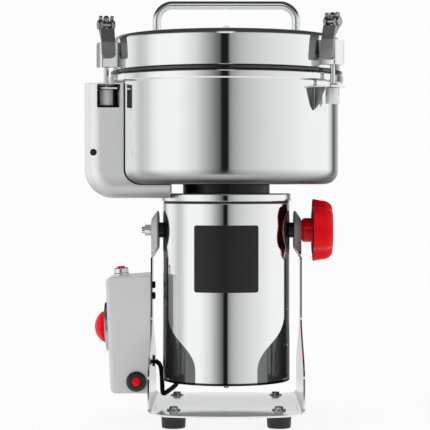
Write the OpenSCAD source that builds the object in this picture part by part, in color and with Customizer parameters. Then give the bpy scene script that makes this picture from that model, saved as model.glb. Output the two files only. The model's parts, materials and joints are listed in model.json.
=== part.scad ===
// Electric grain mill: a motor and grinding bowl that tilt between the arms of a sheet stand.
// The frame stands on its feet at z = 0, with +Z up and the front facing -Y.
// Every length is in millimetres.

/* [Feet] */
// Height of the rubber feet
foot_h = 18.5; // [14:0.5:24]
// Radius of a foot where it meets the stand
foot_top_r = 14.6; // [12:0.2:18]
// Radius of a foot on the floor
foot_bottom_r = 13.6; // [10:0.2:17]
// Distance of each foot's middle in from the side of the stand
foot_side_gap = 29; // [20:1:40]
// Distance of each foot's middle behind the front of the base
foot_front_gap = 46; // [38:1:60]
// Radius of the screws that hold the feet
foot_screw_r = 3; // [2:0.5:4]
// Radius of the washers under the screw heads
washer_r = 8; // [6.5:0.5:10]
// Thickness of a washer
washer_t = 1.2; // [0.8:0.1:2]

/* [Stand] */
// Length of the spacers between the motor housing and the arms
spacer_len = 12; // [11.5:0.5:18]
// Thickness of the stand's sheet
sheet_t = 2; // [1.5:0.25:3]
// Outside radius of the bends at the foot of the arms
bend_r = 6.5; // [5:0.5:9]
// Half of the base's depth along the middle
base_half_d = 118; // [112:1:126]
// How far the base's front and back edges bow out
base_bow = 18; // [8:1:24]
// Distance of the tilt axis below the top of the motor housing
pivot_down = 32; // [26:1:60]
// Radius of the round ear at the top of an arm
ear_r = 25; // [20:0.5:28]
// Half of the depth of an arm's narrow stem
stem_half_d = 17; // [13:0.5:20]
// Height over the base plate where the stem starts to widen
flare_top_up = 103.5; // [90:0.5:108]
// Height over the base plate where the widening ends
flare_bottom_up = 37.5; // [25:0.5:60]

/* [Motor] */
// Outside radius of the motor housing
motor_r = 76; // [66:0.5:86]
// Gap between the base plate and the housing's lower edge
motor_gap = 27.5; // [25.5:0.5:38]
// Length of the housing
motor_len = 211; // [190:1:230]
// Wall of the housing
motor_wall = 2; // [1.5:0.25:3]
// Height of the dark seam over the housing
seam_h = 2.8; // [1.5:0.1:4]
// Height of the stainless cap over the seam
cap_h = 9.3; // [7:0.1:12]
// How far the cap stands out of the housing
cap_out = 1.5; // [0.5:0.25:3]
// Radius of the black neck ring
neck_r = 52; // [40:1:60]
// Height of the neck ring
neck_h = 10.9; // [8:0.1:14]
// Radius of the motor shaft
shaft_r = 7.5; // [6:0.25:9]
// Radius of the rotor core
core_r = 37.3; // [30:0.1:42]
// Distance of the stator stack below the top of the housing
stack_down = 60.5; // [50:0.5:80]

/* [Bowl and lid] */
// Outside radius of the bowl
bowl_r = 134; // [128:0.5:136]
// Height of the bowl, from its bottom to the top of its rim
bowl_h = 129; // [110:1:135]
// Radius of the bowl's bottom corner
bowl_corner_r = 17; // [10:1:24]
// Thickness of the bowl's outer sheet
bowl_sheet = 2; // [1.5:0.25:3]
// How far the rim band stands out of the bowl
rim_out = 6; // [3:0.5:9]
// Height of the rim band
rim_h = 9.7; // [7:0.1:14]
// Air gap between the bowl's outer sheet and the chamber's wall
bowl_air = 4; // [2:0.5:8]
// Thickness of the chamber's floor
chamber_floor = 8; // [5:0.5:12]
// How far the lid's wall stands in from the rim
lid_in = 4; // [3:0.5:8]
// Height of the lid over the rim
lid_h = 46.5; // [38:0.5:55]
// Radius of the lid's rounded shoulder
shoulder_r = 6.5; // [4:0.5:12]
// Diameter of the lid handle's bar
handle_d = 10; // [8:0.5:12]
// Outside width of the lid handle
handle_w = 177; // [150:1:200]
// Height of the handle over the lid
handle_h = 44; // [36:1:60]
// Radius of the handle's bends, along the middle of the bar
handle_bend_r = 19; // [14:1:26]

/* [Clamps] */
// Angle of the left clamp from the front, round the bowl
left_clamp_a = 73; // [70:1:76]
// Angle of the right clamp from the front, round the bowl
right_clamp_a = 56; // [50:1:70]
// Gap between the rim band and the clamp rods
rod_gap = 4.5; // [2:0.25:8]
// Radius of a clamp rod
rod_r = 3; // [2.5:0.1:3.5]
// Height of the pins that the levers turn on, over the rim
pin_up = 58; // [54:0.5:62]
// Width of a lever
lever_w = 16.5; // [15:0.5:19]
// Length of a lever below its pin
lever_len = 40; // [34:1:46]
// Thickness of a lever's web and cheeks
lever_t = 3; // [2.5:0.25:3.5]

/* [Switch cover] */
// Gap between the clamp nut inside the cover and the cover's outer face
cover_gap = 10.5; // [6:0.5:16]
// Distance of the cover's front face from the middle
cover_front = 63; // [60:1:70]
// Distance of the cover's back face behind the middle
cover_back = 3; // [0:1:10]
// Gap between the rim band and the top of the cover
cover_rim_gap = 1.3; // [0.5:0.1:6]
// Height of the cover's leg under the bowl
cover_leg_h = 16; // [12:0.5:18]
// Gap between the neck ring and the end of the cover's leg
cover_leg_gap = 13.5; // [10:0.5:30]
// Radius of the cover's large lower corner
cover_corner_r = 34; // [20:1:40]
// Thickness of the cover's wall
cover_wall = 1.5; // [1:0.25:2.5]

/* [Control box] */
// Height of the box's bottom over the base plate
box_up = 13.5; // [10:0.5:40]
// Height of the box
box_h = 140.6; // [110:0.5:142]
// Width of the box at its top
box_top_w = 53; // [46:0.5:60]
// Width of the box at its bottom
box_bottom_w = 47; // [40:0.5:56]
// How much lower the box's top is at its outer side
box_drop = 3.7; // [0:0.1:6]
// Distance of the box's front face from the middle
box_front = 32; // [24:1:33]
// Distance of the box's back face behind the middle
box_back = 52; // [40:1:60]
// Radius of the box's rounded edges
box_edge_r = 6; // [3:0.5:8]
// Thickness of the box's wall
box_wall = 1.6; // [1:0.2:2.4]
// Radius of the timer's dial ring
dial_r = 29.5; // [22:0.5:32]
// Radius of the timer knob
timer_knob_r = 18; // [14:0.5:20]
// How far the timer knob stands out of its dial
timer_knob_h = 13; // [10:0.5:16]
// Radius of the power button's bezel
bezel_r = 9.5; // [8:0.5:11]
// Height of the power button's bezel
bezel_h = 9.8; // [6:0.2:12]
// Radius of the reset boot
boot_r = 12; // [10:0.5:13]
// Travel of both push buttons
button_travel = 3; // [2:0.5:4]

/* [Tilt knob] */
// Radius over the knob's lobes at its inner face
knob_r = 37.5; // [32:0.5:40]
// Thickness of the knob's lobed head
knob_t = 23.5; // [18:0.5:28]
// Number of lobes
knob_lobes = 6; // [5:1:9]
// Radius of the knob's hub
knob_hub_r = 14.5; // [12:0.5:16]
// Length of the hub between the head and the stand's ear
knob_hub_len = 13.2; // [10:0.2:16]
// Radius of the pivot bolt and of the lock stud
pivot_r = 4; // [3:0.25:5]
// Radius of the black spacers at the ears
spacer_r = 9.25; // [7.5:0.25:11]

/* [Hidden] */
$fn = 96;
// Radial clearance of a shaft or pin that turns or slides in its bore
run = 0.05;
// Gap between faces that move past each other
gap = 0.3;
// Clearance of fixed screws in their holes
screw_fit = 0.2;
// Overrun of every cut past the face it opens
over = 1;

plate_z = foot_h + sheet_t;
motor_z = plate_z + motor_gap;
motor_top = motor_z + motor_len;
pivot_z = motor_top - pivot_down;
flare_top_z = plate_z + flare_top_up;
flare_bottom_z = plate_z + flare_bottom_up;
box_z = plate_z + box_up;
cap_z = motor_top + seam_h;
neck_z = cap_z + cap_h;
bowl_z = neck_z + neck_h;
rim_top = bowl_z + bowl_h;
lid_top = rim_top + lid_h;
handle_top = lid_top + handle_h;
arm_inner = motor_r + spacer_len;
stand_half_w = arm_inner + sheet_t;
arm_half_d = base_half_d - base_bow;
foot_x = stand_half_w - foot_side_gap;
foot_y = base_half_d - foot_front_gap;

// Foot screws
screw_head_r = 5;
screw_head_h = 3;
screw_head_taper = 1;
foot_nut_r = 5.5;
foot_nut_h = 4;
foot_nut_z = 4;

// Box screws in the left arm and spare holes in the right one
arm_hole_r = 2;
arm_screw_head_r = 4.2;
arm_screw_head_h = 3;
arm_screw_behind = 38;
arm_screw_downs = [13.6, 26.6];
spare_hole_downs = [96, 139];
cable_hole_behind = 54;
cable_hole_up = 34;
cable_r = 2.75;
grommet_r = 6;
grommet_lip = 1.5;
grommet_t = 1;

arm_screw_y = arm_screw_behind - box_front;
arm_screw_zs = [for (down = arm_screw_downs) box_z + box_h - down];
spare_hole_zs = [for (down = spare_hole_downs) pivot_z - down];
cable_hole_y = cable_hole_behind - box_front;
cable_hole_z = box_z + cable_hole_up;

// Motor inner pieces
cap_r = motor_r + cap_out;
stator_r = motor_r - motor_wall - gap;
base_plate_t = 4;
bearing_r = 17.5;
bearing_h = 12;
bearing_race_t = 3;
hub_wall = 4;
vent_count = 8;
vent_r = 3;
vent_in = 24;
vent_at = motor_r - vent_in;
base_screw_count = 3;
base_screw_in = 10;
base_screw_at = motor_r - base_screw_in;
base_screw_r = 3.2;
base_screw_taper = 0.8;
base_screw_h = 2.6;
spigot_len = 8;
stator_gap = 0.7;
winding_h = 16;
winding_inset = 6;
fan_in = 10;
fan_r = motor_r - fan_in;
fan_t = 3;
fan_h = 16;
fan_hub_r = 16;
fan_blades = 9;
fan_blade_t = 2.5;
fan_up = 8.9;
fan_gap = 3.6;
fan_z = motor_z + base_plate_t + bearing_h + fan_up;
stator_z = fan_z + fan_h + fan_gap + winding_h;
stack_len = motor_top - stack_down - stator_z;

// Label place on the motor's front
label_a = 58.6;
label_h = 78;
label_down = 25;
label_z = motor_top - label_down - label_h;
label_t = 0.5;

// Chamber, liner and blades
rim_r = bowl_r + rim_out;
chamber_wall = 4;
liner_t = 4;
chamber_r = bowl_r - bowl_sheet - bowl_air - chamber_wall - liner_t;
chamber_z = bowl_z + bowl_sheet + gap;
hub_hole_r = 16;
liner_teeth = 36;
tooth_r = 2.2;
liner_h = 62;
blade_gap = 2.5;
hub_z = chamber_z + chamber_floor + blade_gap;
blade_hub_r = 17;
blade_hub_h = 12;
blade_t = 4;
blade_w = 30;
blade_tip_w = 18;
low_blade_gap = 14;
high_blade_gap = 36;
low_blade_len = chamber_r - low_blade_gap;
high_blade_len = chamber_r - high_blade_gap;
blade_nut_r = 11;
blade_nut_h = 9;
seal_t = 5;

// Lid
lid_r = rim_r - lid_in;
lid_sheet = 2;
bead_h = 4.8;
bead_out = 3;
bead_r = lid_r + bead_out;
lid_plate_t = 3.5;
lid_plate_r = lid_r - lid_sheet - gap;
gasket_h = 3;
gasket_w = 7;
gasket_r = chamber_r + liner_t + chamber_wall / 2;
chamber_top = rim_top - gasket_h;
lid_nut_r = 7;
lid_nut_h = 15;
handle_foot_r = 10;
handle_foot_h = 2.5;

// Clamps: distances along the rod are heights, and front is towards -Y in each clamp's own frame
rod_at = rim_r + rod_gap + rod_r;
bracket_t = 2;
bracket_up = 8;
bracket_z = rim_top + bracket_up;
bracket_h = 29;
bracket_back = 12;
bracket_deep = 19;
bracket_lip = 9;
bracket_reach = rod_at + bracket_lip;
slot_play = 1.2;
slot_half_w = rod_r + slot_play;
rivet_r = 3;
rivet_h = 1.6;
shelf_gap = 6.3;
shelf_z = rim_top - rim_h - shelf_gap;
shelf_back = 14;
shelf_front = 15;
shelf_lip = 9.5;
shelf_reach = rod_at + shelf_lip;
gusset_h = 28;
gusset_tip = 7;
nut_r = 8;
nut_len = 19;
nut_slots = 6;
nut_slot_w = 2;
nut_slot_deep = 1;
pin_z = rim_top + pin_up;
barrel_r = 4.5;
barrel_len = lever_w - 2 * lever_t - 2 * gap;
pin_r = 2.6;
pin_head_r = 5.6;
pin_head_t = 1.8;
dome_r = 4;
dome_h = 6.4;
prong_up = 10.5;
prong_half_w = 3.4;
boss_r = 6.4;
heel_r = pin_z - (bracket_z + bracket_h) - gap;
web_front = 7;
web_down = 4.6;
web_t = 2.6;
web_bend_one_share = 0.52;
web_bend_two_share = 0.84;
web_lean_shares = [0.58, 0.84, 1];
web_slant = 7.8;
web_corner_r = 3.5;

// Switch cover
cover_reach = rod_at + nut_r + cover_gap;
cover_leg_end = neck_r + cover_leg_gap;
cover_drop = 0.5;
cover_z = bowl_z - cover_leg_h - cover_drop;
cover_top = rim_top - rim_h - cover_rim_gap;
cover_h = cover_top - cover_z;
window_out = 9.35;
window_in = 17.45;
window_left = rod_at * sin(left_clamp_a) + window_out;
window_right = rod_at * sin(left_clamp_a) - window_in;
window_h = 29;
cover_screw_in = 11;
cover_screw_at = cover_reach - cover_screw_in;
cover_screw_up = 53.5;
cover_screw_z = cover_z + cover_screw_up;
cover_screw_r = 3.4;
recess_r = 5;
recess_deep = 1.2;
switch_w = 12;
switch_deep = 20;
switch_h = 26;
switch_drop = 3.3;
switch_z = shelf_z - bracket_t - nut_len - switch_drop - switch_h;

// Control box
box_top = box_z + box_h;
lean = atan((box_top_w - box_bottom_w) / (box_h - box_drop - 2 * box_edge_r));
slope_run = box_top_w - 2 * box_edge_r;
slope_fall = box_drop + box_edge_r;
slope = atan(slope_fall / slope_run) - asin(box_edge_r / norm([slope_run, slope_fall]));
timer_behind = 40;
timer_up = 76.7;
timer_y = timer_behind - box_front;
timer_z = box_z + timer_up;
timer_face = stand_half_w + box_bottom_w - box_edge_r
    + (timer_up - box_edge_r + box_edge_r * sin(lean)) * tan(lean) + box_edge_r * cos(lean);
dial_t = 4.6;
dial_lip = 1.4;
timer_shaft_r = 3;
timer_shaft_len = 20;
timer_body_w = 26;
timer_body_half = 19;
skirt_h = 4;
skirt_out = 0.8;
skirt_r = timer_knob_r + skirt_out;
pointer_w = 2;
button_out = 36;
button_x = stand_half_w + button_out;
button_y = timer_y;
button_z = box_top - (button_out - box_edge_r) * tan(slope);
cap_button_r = 4.75;
cap_button_up = 2;
bezel_deep = 14;
thread_r = 8;
reset_off = 16.2;
reset_up = 14.7;
reset_x = stand_half_w + reset_off;
reset_z = box_z + reset_up;
reset_r = 5;
reset_out = 3;
boot_out = 4.5;
boot_edge_r = 2;
boot_deep = 16;
gland_off = 24;
gland_up = 28;
gland_x = stand_half_w + gland_off;
gland_z = box_z + gland_up;
gland_r = 9;
gland_out = 15;
gland_bore_r = 3.8;
gland_flange_r = 12;
gland_flange_t = 3;

// Tilt hardware
nut_flat_r = 7.5;
pivot_nut_t = 7.2;
bolt_tip = 4;
knob_edge_r = 8;
knob_taper = 3;
knob_lobe_share = 0.33;
knob_core_share = 0.82;
knob_lobe_turn = -7;
inner_nut_r = 9;
inner_nut_t = 5;
stud_end = 4;

// The mill's axis stands off the frame's middle, because the cover reaches further than the rim
axis_x = (cover_reach - rim_r) / 2;

// Route of the motor cable, from the motor's underside to the grommet in the left arm
cable_route = [[-58, -33, 51.5], [-58.4, -33.2, 46], [-63.5, -34, 41.5], [-69, -33, 37.5], [-73.5, -27, 34],
    [-76, -12, 33], [-77, 4, 40], [-78, 14, 54], [-80, 20, 64], [-86, 22, 68]];
cable_sides = 10;

// Places its children on the mill's own axis
module at_axis() {
    translate([axis_x, 0, 0]) children();
}

// Places its children at each of the four feet, on the floor
module at_feet() {
    for (sx = [-1, 1], sy = [-1, 1]) translate([sx * foot_x, sy * foot_y, 0]) children();
}

// Turns its children so that their Z axis points along X, away from the middle on that side
module along_x(side) {
    rotate([0, side * 90, 0]) children();
}

// Places its children on a clamp, with X outwards from the bowl and -Y to the front
module at_clamp(side) {
    a = side > 0 ? right_clamp_a : left_clamp_a;
    mirror([side > 0 ? 0 : 1, 0, 0]) rotate([0, 0, a - 90]) children();
}

module at_both_clamps() {
    for (side = [-1, 1]) at_clamp(side) children();
}

// A ring about the Z axis
module ring(inner, outer, z, h) {
    translate([0, 0, z]) difference() {
        cylinder(h = h, r = outer);
        translate([0, 0, -over]) cylinder(h = h + 2 * over, r = inner);
    }
}

// Half profile of a cup: a flat bottom, a round corner and a straight wall
module cup_profile(r, z0, z1, corner) {
    translate([0, z0 + corner]) square([r, z1 - z0 - corner]);
    translate([0, z0]) square([r - corner, corner]);
    translate([r - corner, z0 + corner]) circle(corner);
}

// Profile of the bent stand sheet: a box with two round lower corners
module trough_profile(half_w, z0, z1, corner) {
    translate([-half_w, z0 + corner]) square([2 * half_w, z1 - z0 - corner]);
    translate([corner - half_w, z0]) square([2 * (half_w - corner), corner]);
    for (side = [-1, 1]) translate([side * (half_w - corner), z0 + corner]) circle(corner);
}

// Half width of an arm at a share of the way down its widening
function flare(share) = stem_half_d + (arm_half_d - stem_half_d) * (1 - cos(180 * share)) / 2;

// Side outline of an arm, from the base to the round ear
module arm_outline() {
    steps = 14;
    side = [for (i = [0 : steps])
        [flare(i / steps), flare_top_z + (flare_bottom_z - flare_top_z) * i / steps]];
    half = concat([[stem_half_d, pivot_z]], side, [[arm_half_d, foot_h]]);
    polygon(concat(half, [for (i = [len(half) - 1 : -1 : 0]) [-half[i][0], half[i][1]]]));
    translate([0, pivot_z]) circle(ear_r);
}

// Plan of the base, with its front and back edges bowed out
module base_plan() {
    bow_r = (pow(stand_half_w, 2) + pow(base_bow, 2)) / (2 * base_bow);
    intersection() {
        square([2 * stand_half_w, 2 * base_half_d], center = true);
        translate([0, bow_r - base_half_d]) circle(bow_r);
        translate([0, base_half_d - bow_r]) circle(bow_r);
    }
}

module stand_frame() color("silver") at_axis() difference() {
    intersection() {
        translate([0, base_half_d + over, 0]) rotate([90, 0, 0])
            linear_extrude(2 * (base_half_d + over)) difference() {
                trough_profile(stand_half_w, foot_h, pivot_z + ear_r + over, bend_r);
                trough_profile(arm_inner, plate_z, pivot_z + ear_r + 2 * over, bend_r - sheet_t);
            }
        union() {
            translate([-stand_half_w, 0, 0]) rotate([90, 0, 90])
                linear_extrude(2 * stand_half_w) arm_outline();
            translate([0, 0, foot_h]) linear_extrude(bend_r) base_plan();
        }
    }
    translate([-stand_half_w - over, 0, pivot_z]) rotate([0, 90, 0])
        cylinder(h = 2 * (stand_half_w + over), r = pivot_r + run);
    at_feet() cylinder(h = plate_z + over, r = foot_screw_r + screw_fit);
    for (z = arm_screw_zs) translate([-arm_inner + over, arm_screw_y, z]) along_x(-1)
        cylinder(h = sheet_t + 2 * over, r = arm_hole_r + screw_fit);
    for (z = spare_hole_zs) translate([arm_inner - over, 0, z]) along_x(1)
        cylinder(h = sheet_t + 2 * over, r = arm_hole_r);
    translate([-arm_inner + over, cable_hole_y, cable_hole_z]) along_x(-1)
        cylinder(h = sheet_t + 2 * over, r = grommet_r);
}

module rubber_feet() color("#1a1a1a") at_axis() at_feet() difference() {
    cylinder(h = foot_h, r1 = foot_bottom_r, r2 = foot_top_r);
    translate([0, 0, -over]) cylinder(h = foot_h + 2 * over, r = foot_screw_r + screw_fit);
    translate([0, 0, -over]) cylinder(h = foot_nut_z + foot_nut_h + over, r = foot_nut_r + gap);
}

module foot_screws() color("lightgray") at_axis() at_feet() {
    translate([0, 0, foot_nut_z]) cylinder(h = plate_z - foot_nut_z + washer_t, r = foot_screw_r);
    translate([0, 0, plate_z]) cylinder(h = washer_t, r = washer_r);
    translate([0, 0, plate_z + washer_t])
        cylinder(h = screw_head_h, r1 = screw_head_r, r2 = screw_head_r - screw_head_taper);
    translate([0, 0, foot_nut_z]) cylinder(h = foot_nut_h, r = foot_nut_r, $fn = 6);
}

// Two screws that hold the control box to the left arm
module box_screws() color("#222222") at_axis()
    for (z = arm_screw_zs) translate([-arm_inner, arm_screw_y, z]) {
        along_x(1) resize([0, 0, arm_screw_head_h]) difference() {
            sphere(arm_screw_head_r, $fn = 32);
            translate([0, 0, -arm_screw_head_r]) cube(2 * arm_screw_head_r, center = true);
        }
        along_x(-1) cylinder(h = sheet_t + 2 * arm_hole_r, r = arm_hole_r);
    }

// The box's form, with rounded edges everywhere but against the arm. An inset one is its hollow,
// which reaches through to the arm.
module box_form(inset) {
    r = box_edge_r;
    open = inset > 0 ? over : 0;
    hull() {
        for (y = [inset + r - box_front, box_back - r - inset]) {
            translate([-(stand_half_w + box_top_w - r - inset), y, box_top - box_drop - r - inset])
                sphere(r, $fn = 24);
            translate([-(stand_half_w + box_bottom_w - r - inset), y, box_z + r + inset])
                sphere(r, $fn = 24);
            for (z = [box_z + r + inset, box_top - r - inset])
                translate([open - stand_half_w, y, z]) rotate([0, -90, 0])
                    cylinder(h = r, r = r, $fn = 24);
        }
    }
}

// Places its children on the sloping top of the box, with Z outwards
module at_button() {
    translate([-button_x, button_y, button_z]) rotate([0, -slope, 0]) children();
}

// Places its children on the leaning outer face of the box, with Z outwards
module at_timer() {
    translate([-timer_face, timer_y, timer_z]) rotate([0, -90 - lean, 0]) children();
}

module control_box() color("gainsboro") at_axis() difference() {
    box_form(0);
    box_form(box_wall);
    at_timer() translate([0, 0, -2 * box_edge_r]) cylinder(h = 3 * box_edge_r, r = timer_shaft_r + gap);
    at_button() translate([0, 0, -3 * box_wall]) cylinder(h = 4 * box_wall, r = thread_r + gap);
    translate([-reset_x, -box_front + 2 * box_wall, reset_z]) rotate([90, 0, 0])
        cylinder(h = 3 * box_wall, r = boot_r - boot_edge_r + gap);
    translate([-gland_x, box_back + box_wall, gland_z]) rotate([90, 0, 0])
        cylinder(h = 3 * box_wall, r = gland_r - hub_wall + gap);
    for (z = arm_screw_zs) translate([-stand_half_w, arm_screw_y, z]) along_x(-1)
        cylinder(h = 3 * arm_hole_r, r = arm_hole_r + screw_fit);
}

module timer_body() color("dimgray") at_axis() at_timer() difference() {
    translate([-timer_body_half, -timer_body_half, -box_edge_r - timer_body_w])
        cube([2 * timer_body_half, 2 * timer_body_half, timer_body_w]);
    translate([0, 0, -box_edge_r - timer_shaft_len]) cylinder(h = timer_shaft_len + over,
        r = timer_shaft_r + run);
}

module timer_dial_ring() color("darkgray") at_axis() at_timer() difference() {
    rotate_extrude() {
        square([dial_r, dial_t - dial_lip]);
        square([dial_r - dial_lip, dial_t]);
        translate([dial_r - dial_lip, dial_t - dial_lip]) circle(dial_lip);
    }
    translate([0, 0, -over]) cylinder(h = dial_t + 2 * over, r = timer_shaft_r + gap);
}

module timer_knob() color("red") at_axis() at_timer() difference() {
    union() {
        translate([0, 0, dial_t + gap]) cylinder(h = skirt_h, r1 = skirt_r, r2 = timer_knob_r);
        translate([0, 0, dial_t + gap + skirt_h]) rotate_extrude() timer_dome();
        translate([0, 0, -box_edge_r - timer_shaft_len + over])
            cylinder(h = timer_shaft_len + box_edge_r + dial_t, r = timer_shaft_r);
    }
    translate([-pointer_w / 2, 0, dial_t + timer_knob_h - pointer_w / 2])
        cube([pointer_w, timer_knob_r, pointer_w * 2]);
}

// Half profile of the timer knob's dome: a cap of a ball
module timer_dome() {
    h = timer_knob_h - skirt_h;
    ball = (pow(timer_knob_r, 2) + pow(h, 2)) / (2 * h);
    intersection() {
        translate([0, h - ball]) circle(ball);
        square([timer_knob_r, h]);
    }
}

module button_bezel() color("white") at_axis() at_button() difference() {
    union() {
        rotate_extrude() {
            square([bezel_r, bezel_h - dial_lip]);
            square([bezel_r - dial_lip, bezel_h]);
            translate([bezel_r - dial_lip, bezel_h - dial_lip]) circle(dial_lip);
        }
        translate([0, 0, -bezel_deep]) cylinder(h = bezel_deep + over, r = thread_r);
    }
    translate([0, 0, button_travel + box_wall - bezel_deep])
        cylinder(h = bezel_h + bezel_deep, r = cap_button_r + run);
}

module power_button() color("red") at_axis() at_button() {
    bottom = 2 * button_travel + box_wall + gap - bezel_deep;
    translate([0, 0, bottom]) cylinder(h = bezel_h - bottom + cap_button_up - dial_lip, r = cap_button_r);
    translate([0, 0, bezel_h + cap_button_up - dial_lip])
        cylinder(h = dial_lip, r1 = cap_button_r, r2 = cap_button_r - dial_lip);
}

// Places its children on the box's front face at the reset button, with Z outwards
module at_reset() {
    translate([-reset_x, -box_front, reset_z]) rotate([90, 0, 0]) children();
}

module reset_boot() color("#222222") at_axis() at_reset() difference() {
    union() {
        rotate_extrude() {
            square([boot_r, boot_out - boot_edge_r]);
            square([boot_r - boot_edge_r, boot_out]);
            translate([boot_r - boot_edge_r, boot_out - boot_edge_r]) circle(boot_edge_r);
        }
        translate([0, 0, -boot_deep]) cylinder(h = boot_deep + over, r = boot_r - boot_edge_r);
    }
    translate([0, 0, box_wall - boot_deep]) cylinder(h = boot_deep + boot_out, r = reset_r + run);
}

module reset_button() color("red") at_axis() at_reset() {
    bottom = button_travel + box_wall + gap - boot_deep;
    translate([0, 0, bottom]) cylinder(h = boot_out + reset_out - bottom - dial_lip, r = reset_r);
    translate([0, 0, boot_out + reset_out - dial_lip])
        cylinder(h = dial_lip, r1 = reset_r, r2 = reset_r - dial_lip);
}

module cord_gland() color("#222222") at_axis()
    translate([-gland_x, box_back, gland_z]) rotate([-90, 0, 0]) difference() {
        union() {
            cylinder(h = gland_flange_t, r = gland_flange_r);
            cylinder(h = gland_out, r1 = gland_r, r2 = gland_r - gland_flange_t);
            translate([0, 0, -gland_flange_t]) cylinder(h = gland_flange_t + over, r = gland_r - hub_wall);
        }
        translate([0, 0, -gland_flange_t - over])
            cylinder(h = gland_out + gland_flange_t + 2 * over, r = gland_bore_r);
    }

// Rubber grommet where the motor cable enters the left arm
module cable_grommet() color("#222222") at_axis()
    translate([-arm_inner, cable_hole_y, cable_hole_z]) along_x(-1) difference() {
        union() {
            translate([0, 0, -grommet_lip]) cylinder(h = grommet_lip, r = grommet_r + grommet_t);
            cylinder(h = sheet_t, r = grommet_r);
        }
        translate([0, 0, -grommet_lip - over])
            cylinder(h = sheet_t + grommet_lip + 2 * over, r = cable_r + gap);
    }

module motor_housing() color("silver") at_axis() difference() {
    ring(motor_r - motor_wall, motor_r, motor_z, motor_len);
    translate([-motor_r - over, 0, pivot_z]) rotate([0, 90, 0])
        cylinder(h = 2 * (motor_r + over), r = pivot_r + screw_fit);
}

module cap_gasket() color("#111111") at_axis()
    ring(motor_r - motor_wall, motor_r - over, motor_top, seam_h);

module motor_top_cap() color("silver") at_axis() difference() {
    union() {
        translate([0, 0, cap_z]) rotate_extrude() mirror([0, 1]) translate([0, -cap_h])
            cup_profile(cap_r, 0, cap_h, motor_wall);
        translate([0, 0, motor_top - spigot_len])
            cylinder(h = spigot_len + seam_h + over, r = motor_r - motor_wall - gap);
    }
    translate([0, 0, motor_top - spigot_len - over]) ring_cut(bearing_r + hub_wall,
        motor_r - 3 * motor_wall, spigot_len + seam_h + cap_h - motor_wall);
    translate([0, 0, motor_top - spigot_len - over])
        cylinder(h = spigot_len + seam_h + cap_h + 2 * over, r = shaft_r + over);
    translate([0, 0, neck_z - hub_wall - bearing_h])
        cylinder(h = bearing_h, r = bearing_r);
    translate([0, 0, motor_top - spigot_len - over]) cylinder(h = neck_z - hub_wall - bearing_h
        - motor_top + spigot_len + 2 * over, r = bearing_r);
}

// A ring used to hollow out what surrounds a hub
module ring_cut(inner, outer, h) {
    difference() {
        cylinder(h = h, r = outer);
        translate([0, 0, -over]) cylinder(h = h + 2 * over, r = inner);
    }
}

module motor_base() color("dimgray") at_axis() difference() {
    union() {
        translate([0, 0, motor_z]) cylinder(h = base_plate_t, r = motor_r - motor_wall - gap);
        translate([0, 0, motor_z]) cylinder(h = base_plate_t + bearing_h, r = bearing_r + hub_wall);
    }
    translate([0, 0, motor_z + base_plate_t]) cylinder(h = bearing_h + over, r = bearing_r);
    for (i = [0 : vent_count - 1]) rotate([0, 0, (i + 0.5) * 360 / vent_count])
        translate([vent_at, 0, motor_z - over]) cylinder(h = base_plate_t + 2 * over, r = vent_r);
    translate([cable_route[0][0], cable_route[0][1], motor_z - over])
        cylinder(h = base_plate_t + 2 * over, r = cable_r + over);
}

module base_screws() color("lightgray") at_axis()
    for (i = [0 : base_screw_count - 1]) rotate([0, 0, -90 + i * 360 / base_screw_count])
        translate([base_screw_at, 0, motor_z - base_screw_h])
            cylinder(h = base_screw_h, r1 = base_screw_r - base_screw_taper, r2 = base_screw_r);

module neck_ring() color("#151515") at_axis()
    ring(bearing_r + hub_wall, neck_r, neck_z, neck_h);

// Plain sheet on the motor's front, where a label would be
module label_plate() color("#333338") at_axis() translate([0, 0, label_z])
    rotate([0, 0, -90 - label_a / 2]) rotate_extrude(angle = label_a)
        translate([motor_r + run, 0]) square([label_t, label_h]);

module stator() color("#8a6a4a") at_axis() difference() {
    union() {
        translate([0, 0, stator_z]) cylinder(h = stack_len, r = stator_r);
        translate([0, 0, stator_z - winding_h])
            cylinder(h = stack_len + 2 * winding_h, r = stator_r - winding_inset);
    }
    translate([0, 0, stator_z - winding_h - over])
        cylinder(h = stack_len + 2 * (winding_h + over), r = core_r + stator_gap);
}

// A ball bearing, shown as its two races with the shield between them
module bearing(z) {
    ring(shaft_r + run, shaft_r + run + bearing_race_t, z, bearing_h);
    ring(bearing_r - bearing_race_t, bearing_r, z, bearing_h);
    ring(shaft_r + bearing_race_t, bearing_r - bearing_race_t + run, z + bearing_race_t / 2,
        bearing_h - bearing_race_t);
}

module bearing_lower() color("lightgray") at_axis() bearing(motor_z + base_plate_t);

module bearing_upper() color("lightgray") at_axis() bearing(neck_z - hub_wall - bearing_h);

module bowl() color("silver") at_axis() difference() {
    rotate_extrude() difference() {
        union() {
            cup_profile(bowl_r, bowl_z, rim_top, bowl_corner_r);
            rim_profile();
        }
        cup_profile(bowl_r - bowl_sheet, bowl_z + bowl_sheet, rim_top + over,
            bowl_corner_r - bowl_sheet);
    }
    translate([0, 0, bowl_z - over]) cylinder(h = 2 * (bowl_sheet + over), r = hub_hole_r);
}

// Half profile of the rim band, with rounded outer edges
module rim_profile() {
    r = bowl_sheet;
    translate([0, rim_top - rim_h]) square([rim_r - r, rim_h]);
    translate([0, rim_top - rim_h + r]) square([rim_r, rim_h - 2 * r]);
    for (z = [rim_top - rim_h + r, rim_top - r]) translate([rim_r - r, z]) circle(r);
}

module chamber() color("gainsboro") at_axis() difference() {
    rotate_extrude() difference() {
        cup_profile(chamber_r + chamber_wall + liner_t, chamber_z, chamber_top, bowl_corner_r);
        translate([0, chamber_floor])
            cup_profile(chamber_r + liner_t, chamber_z, chamber_top, bowl_corner_r - chamber_wall);
    }
    translate([0, 0, chamber_z - over]) cylinder(h = chamber_floor + 2 * over, r = hub_hole_r);
}

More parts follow.
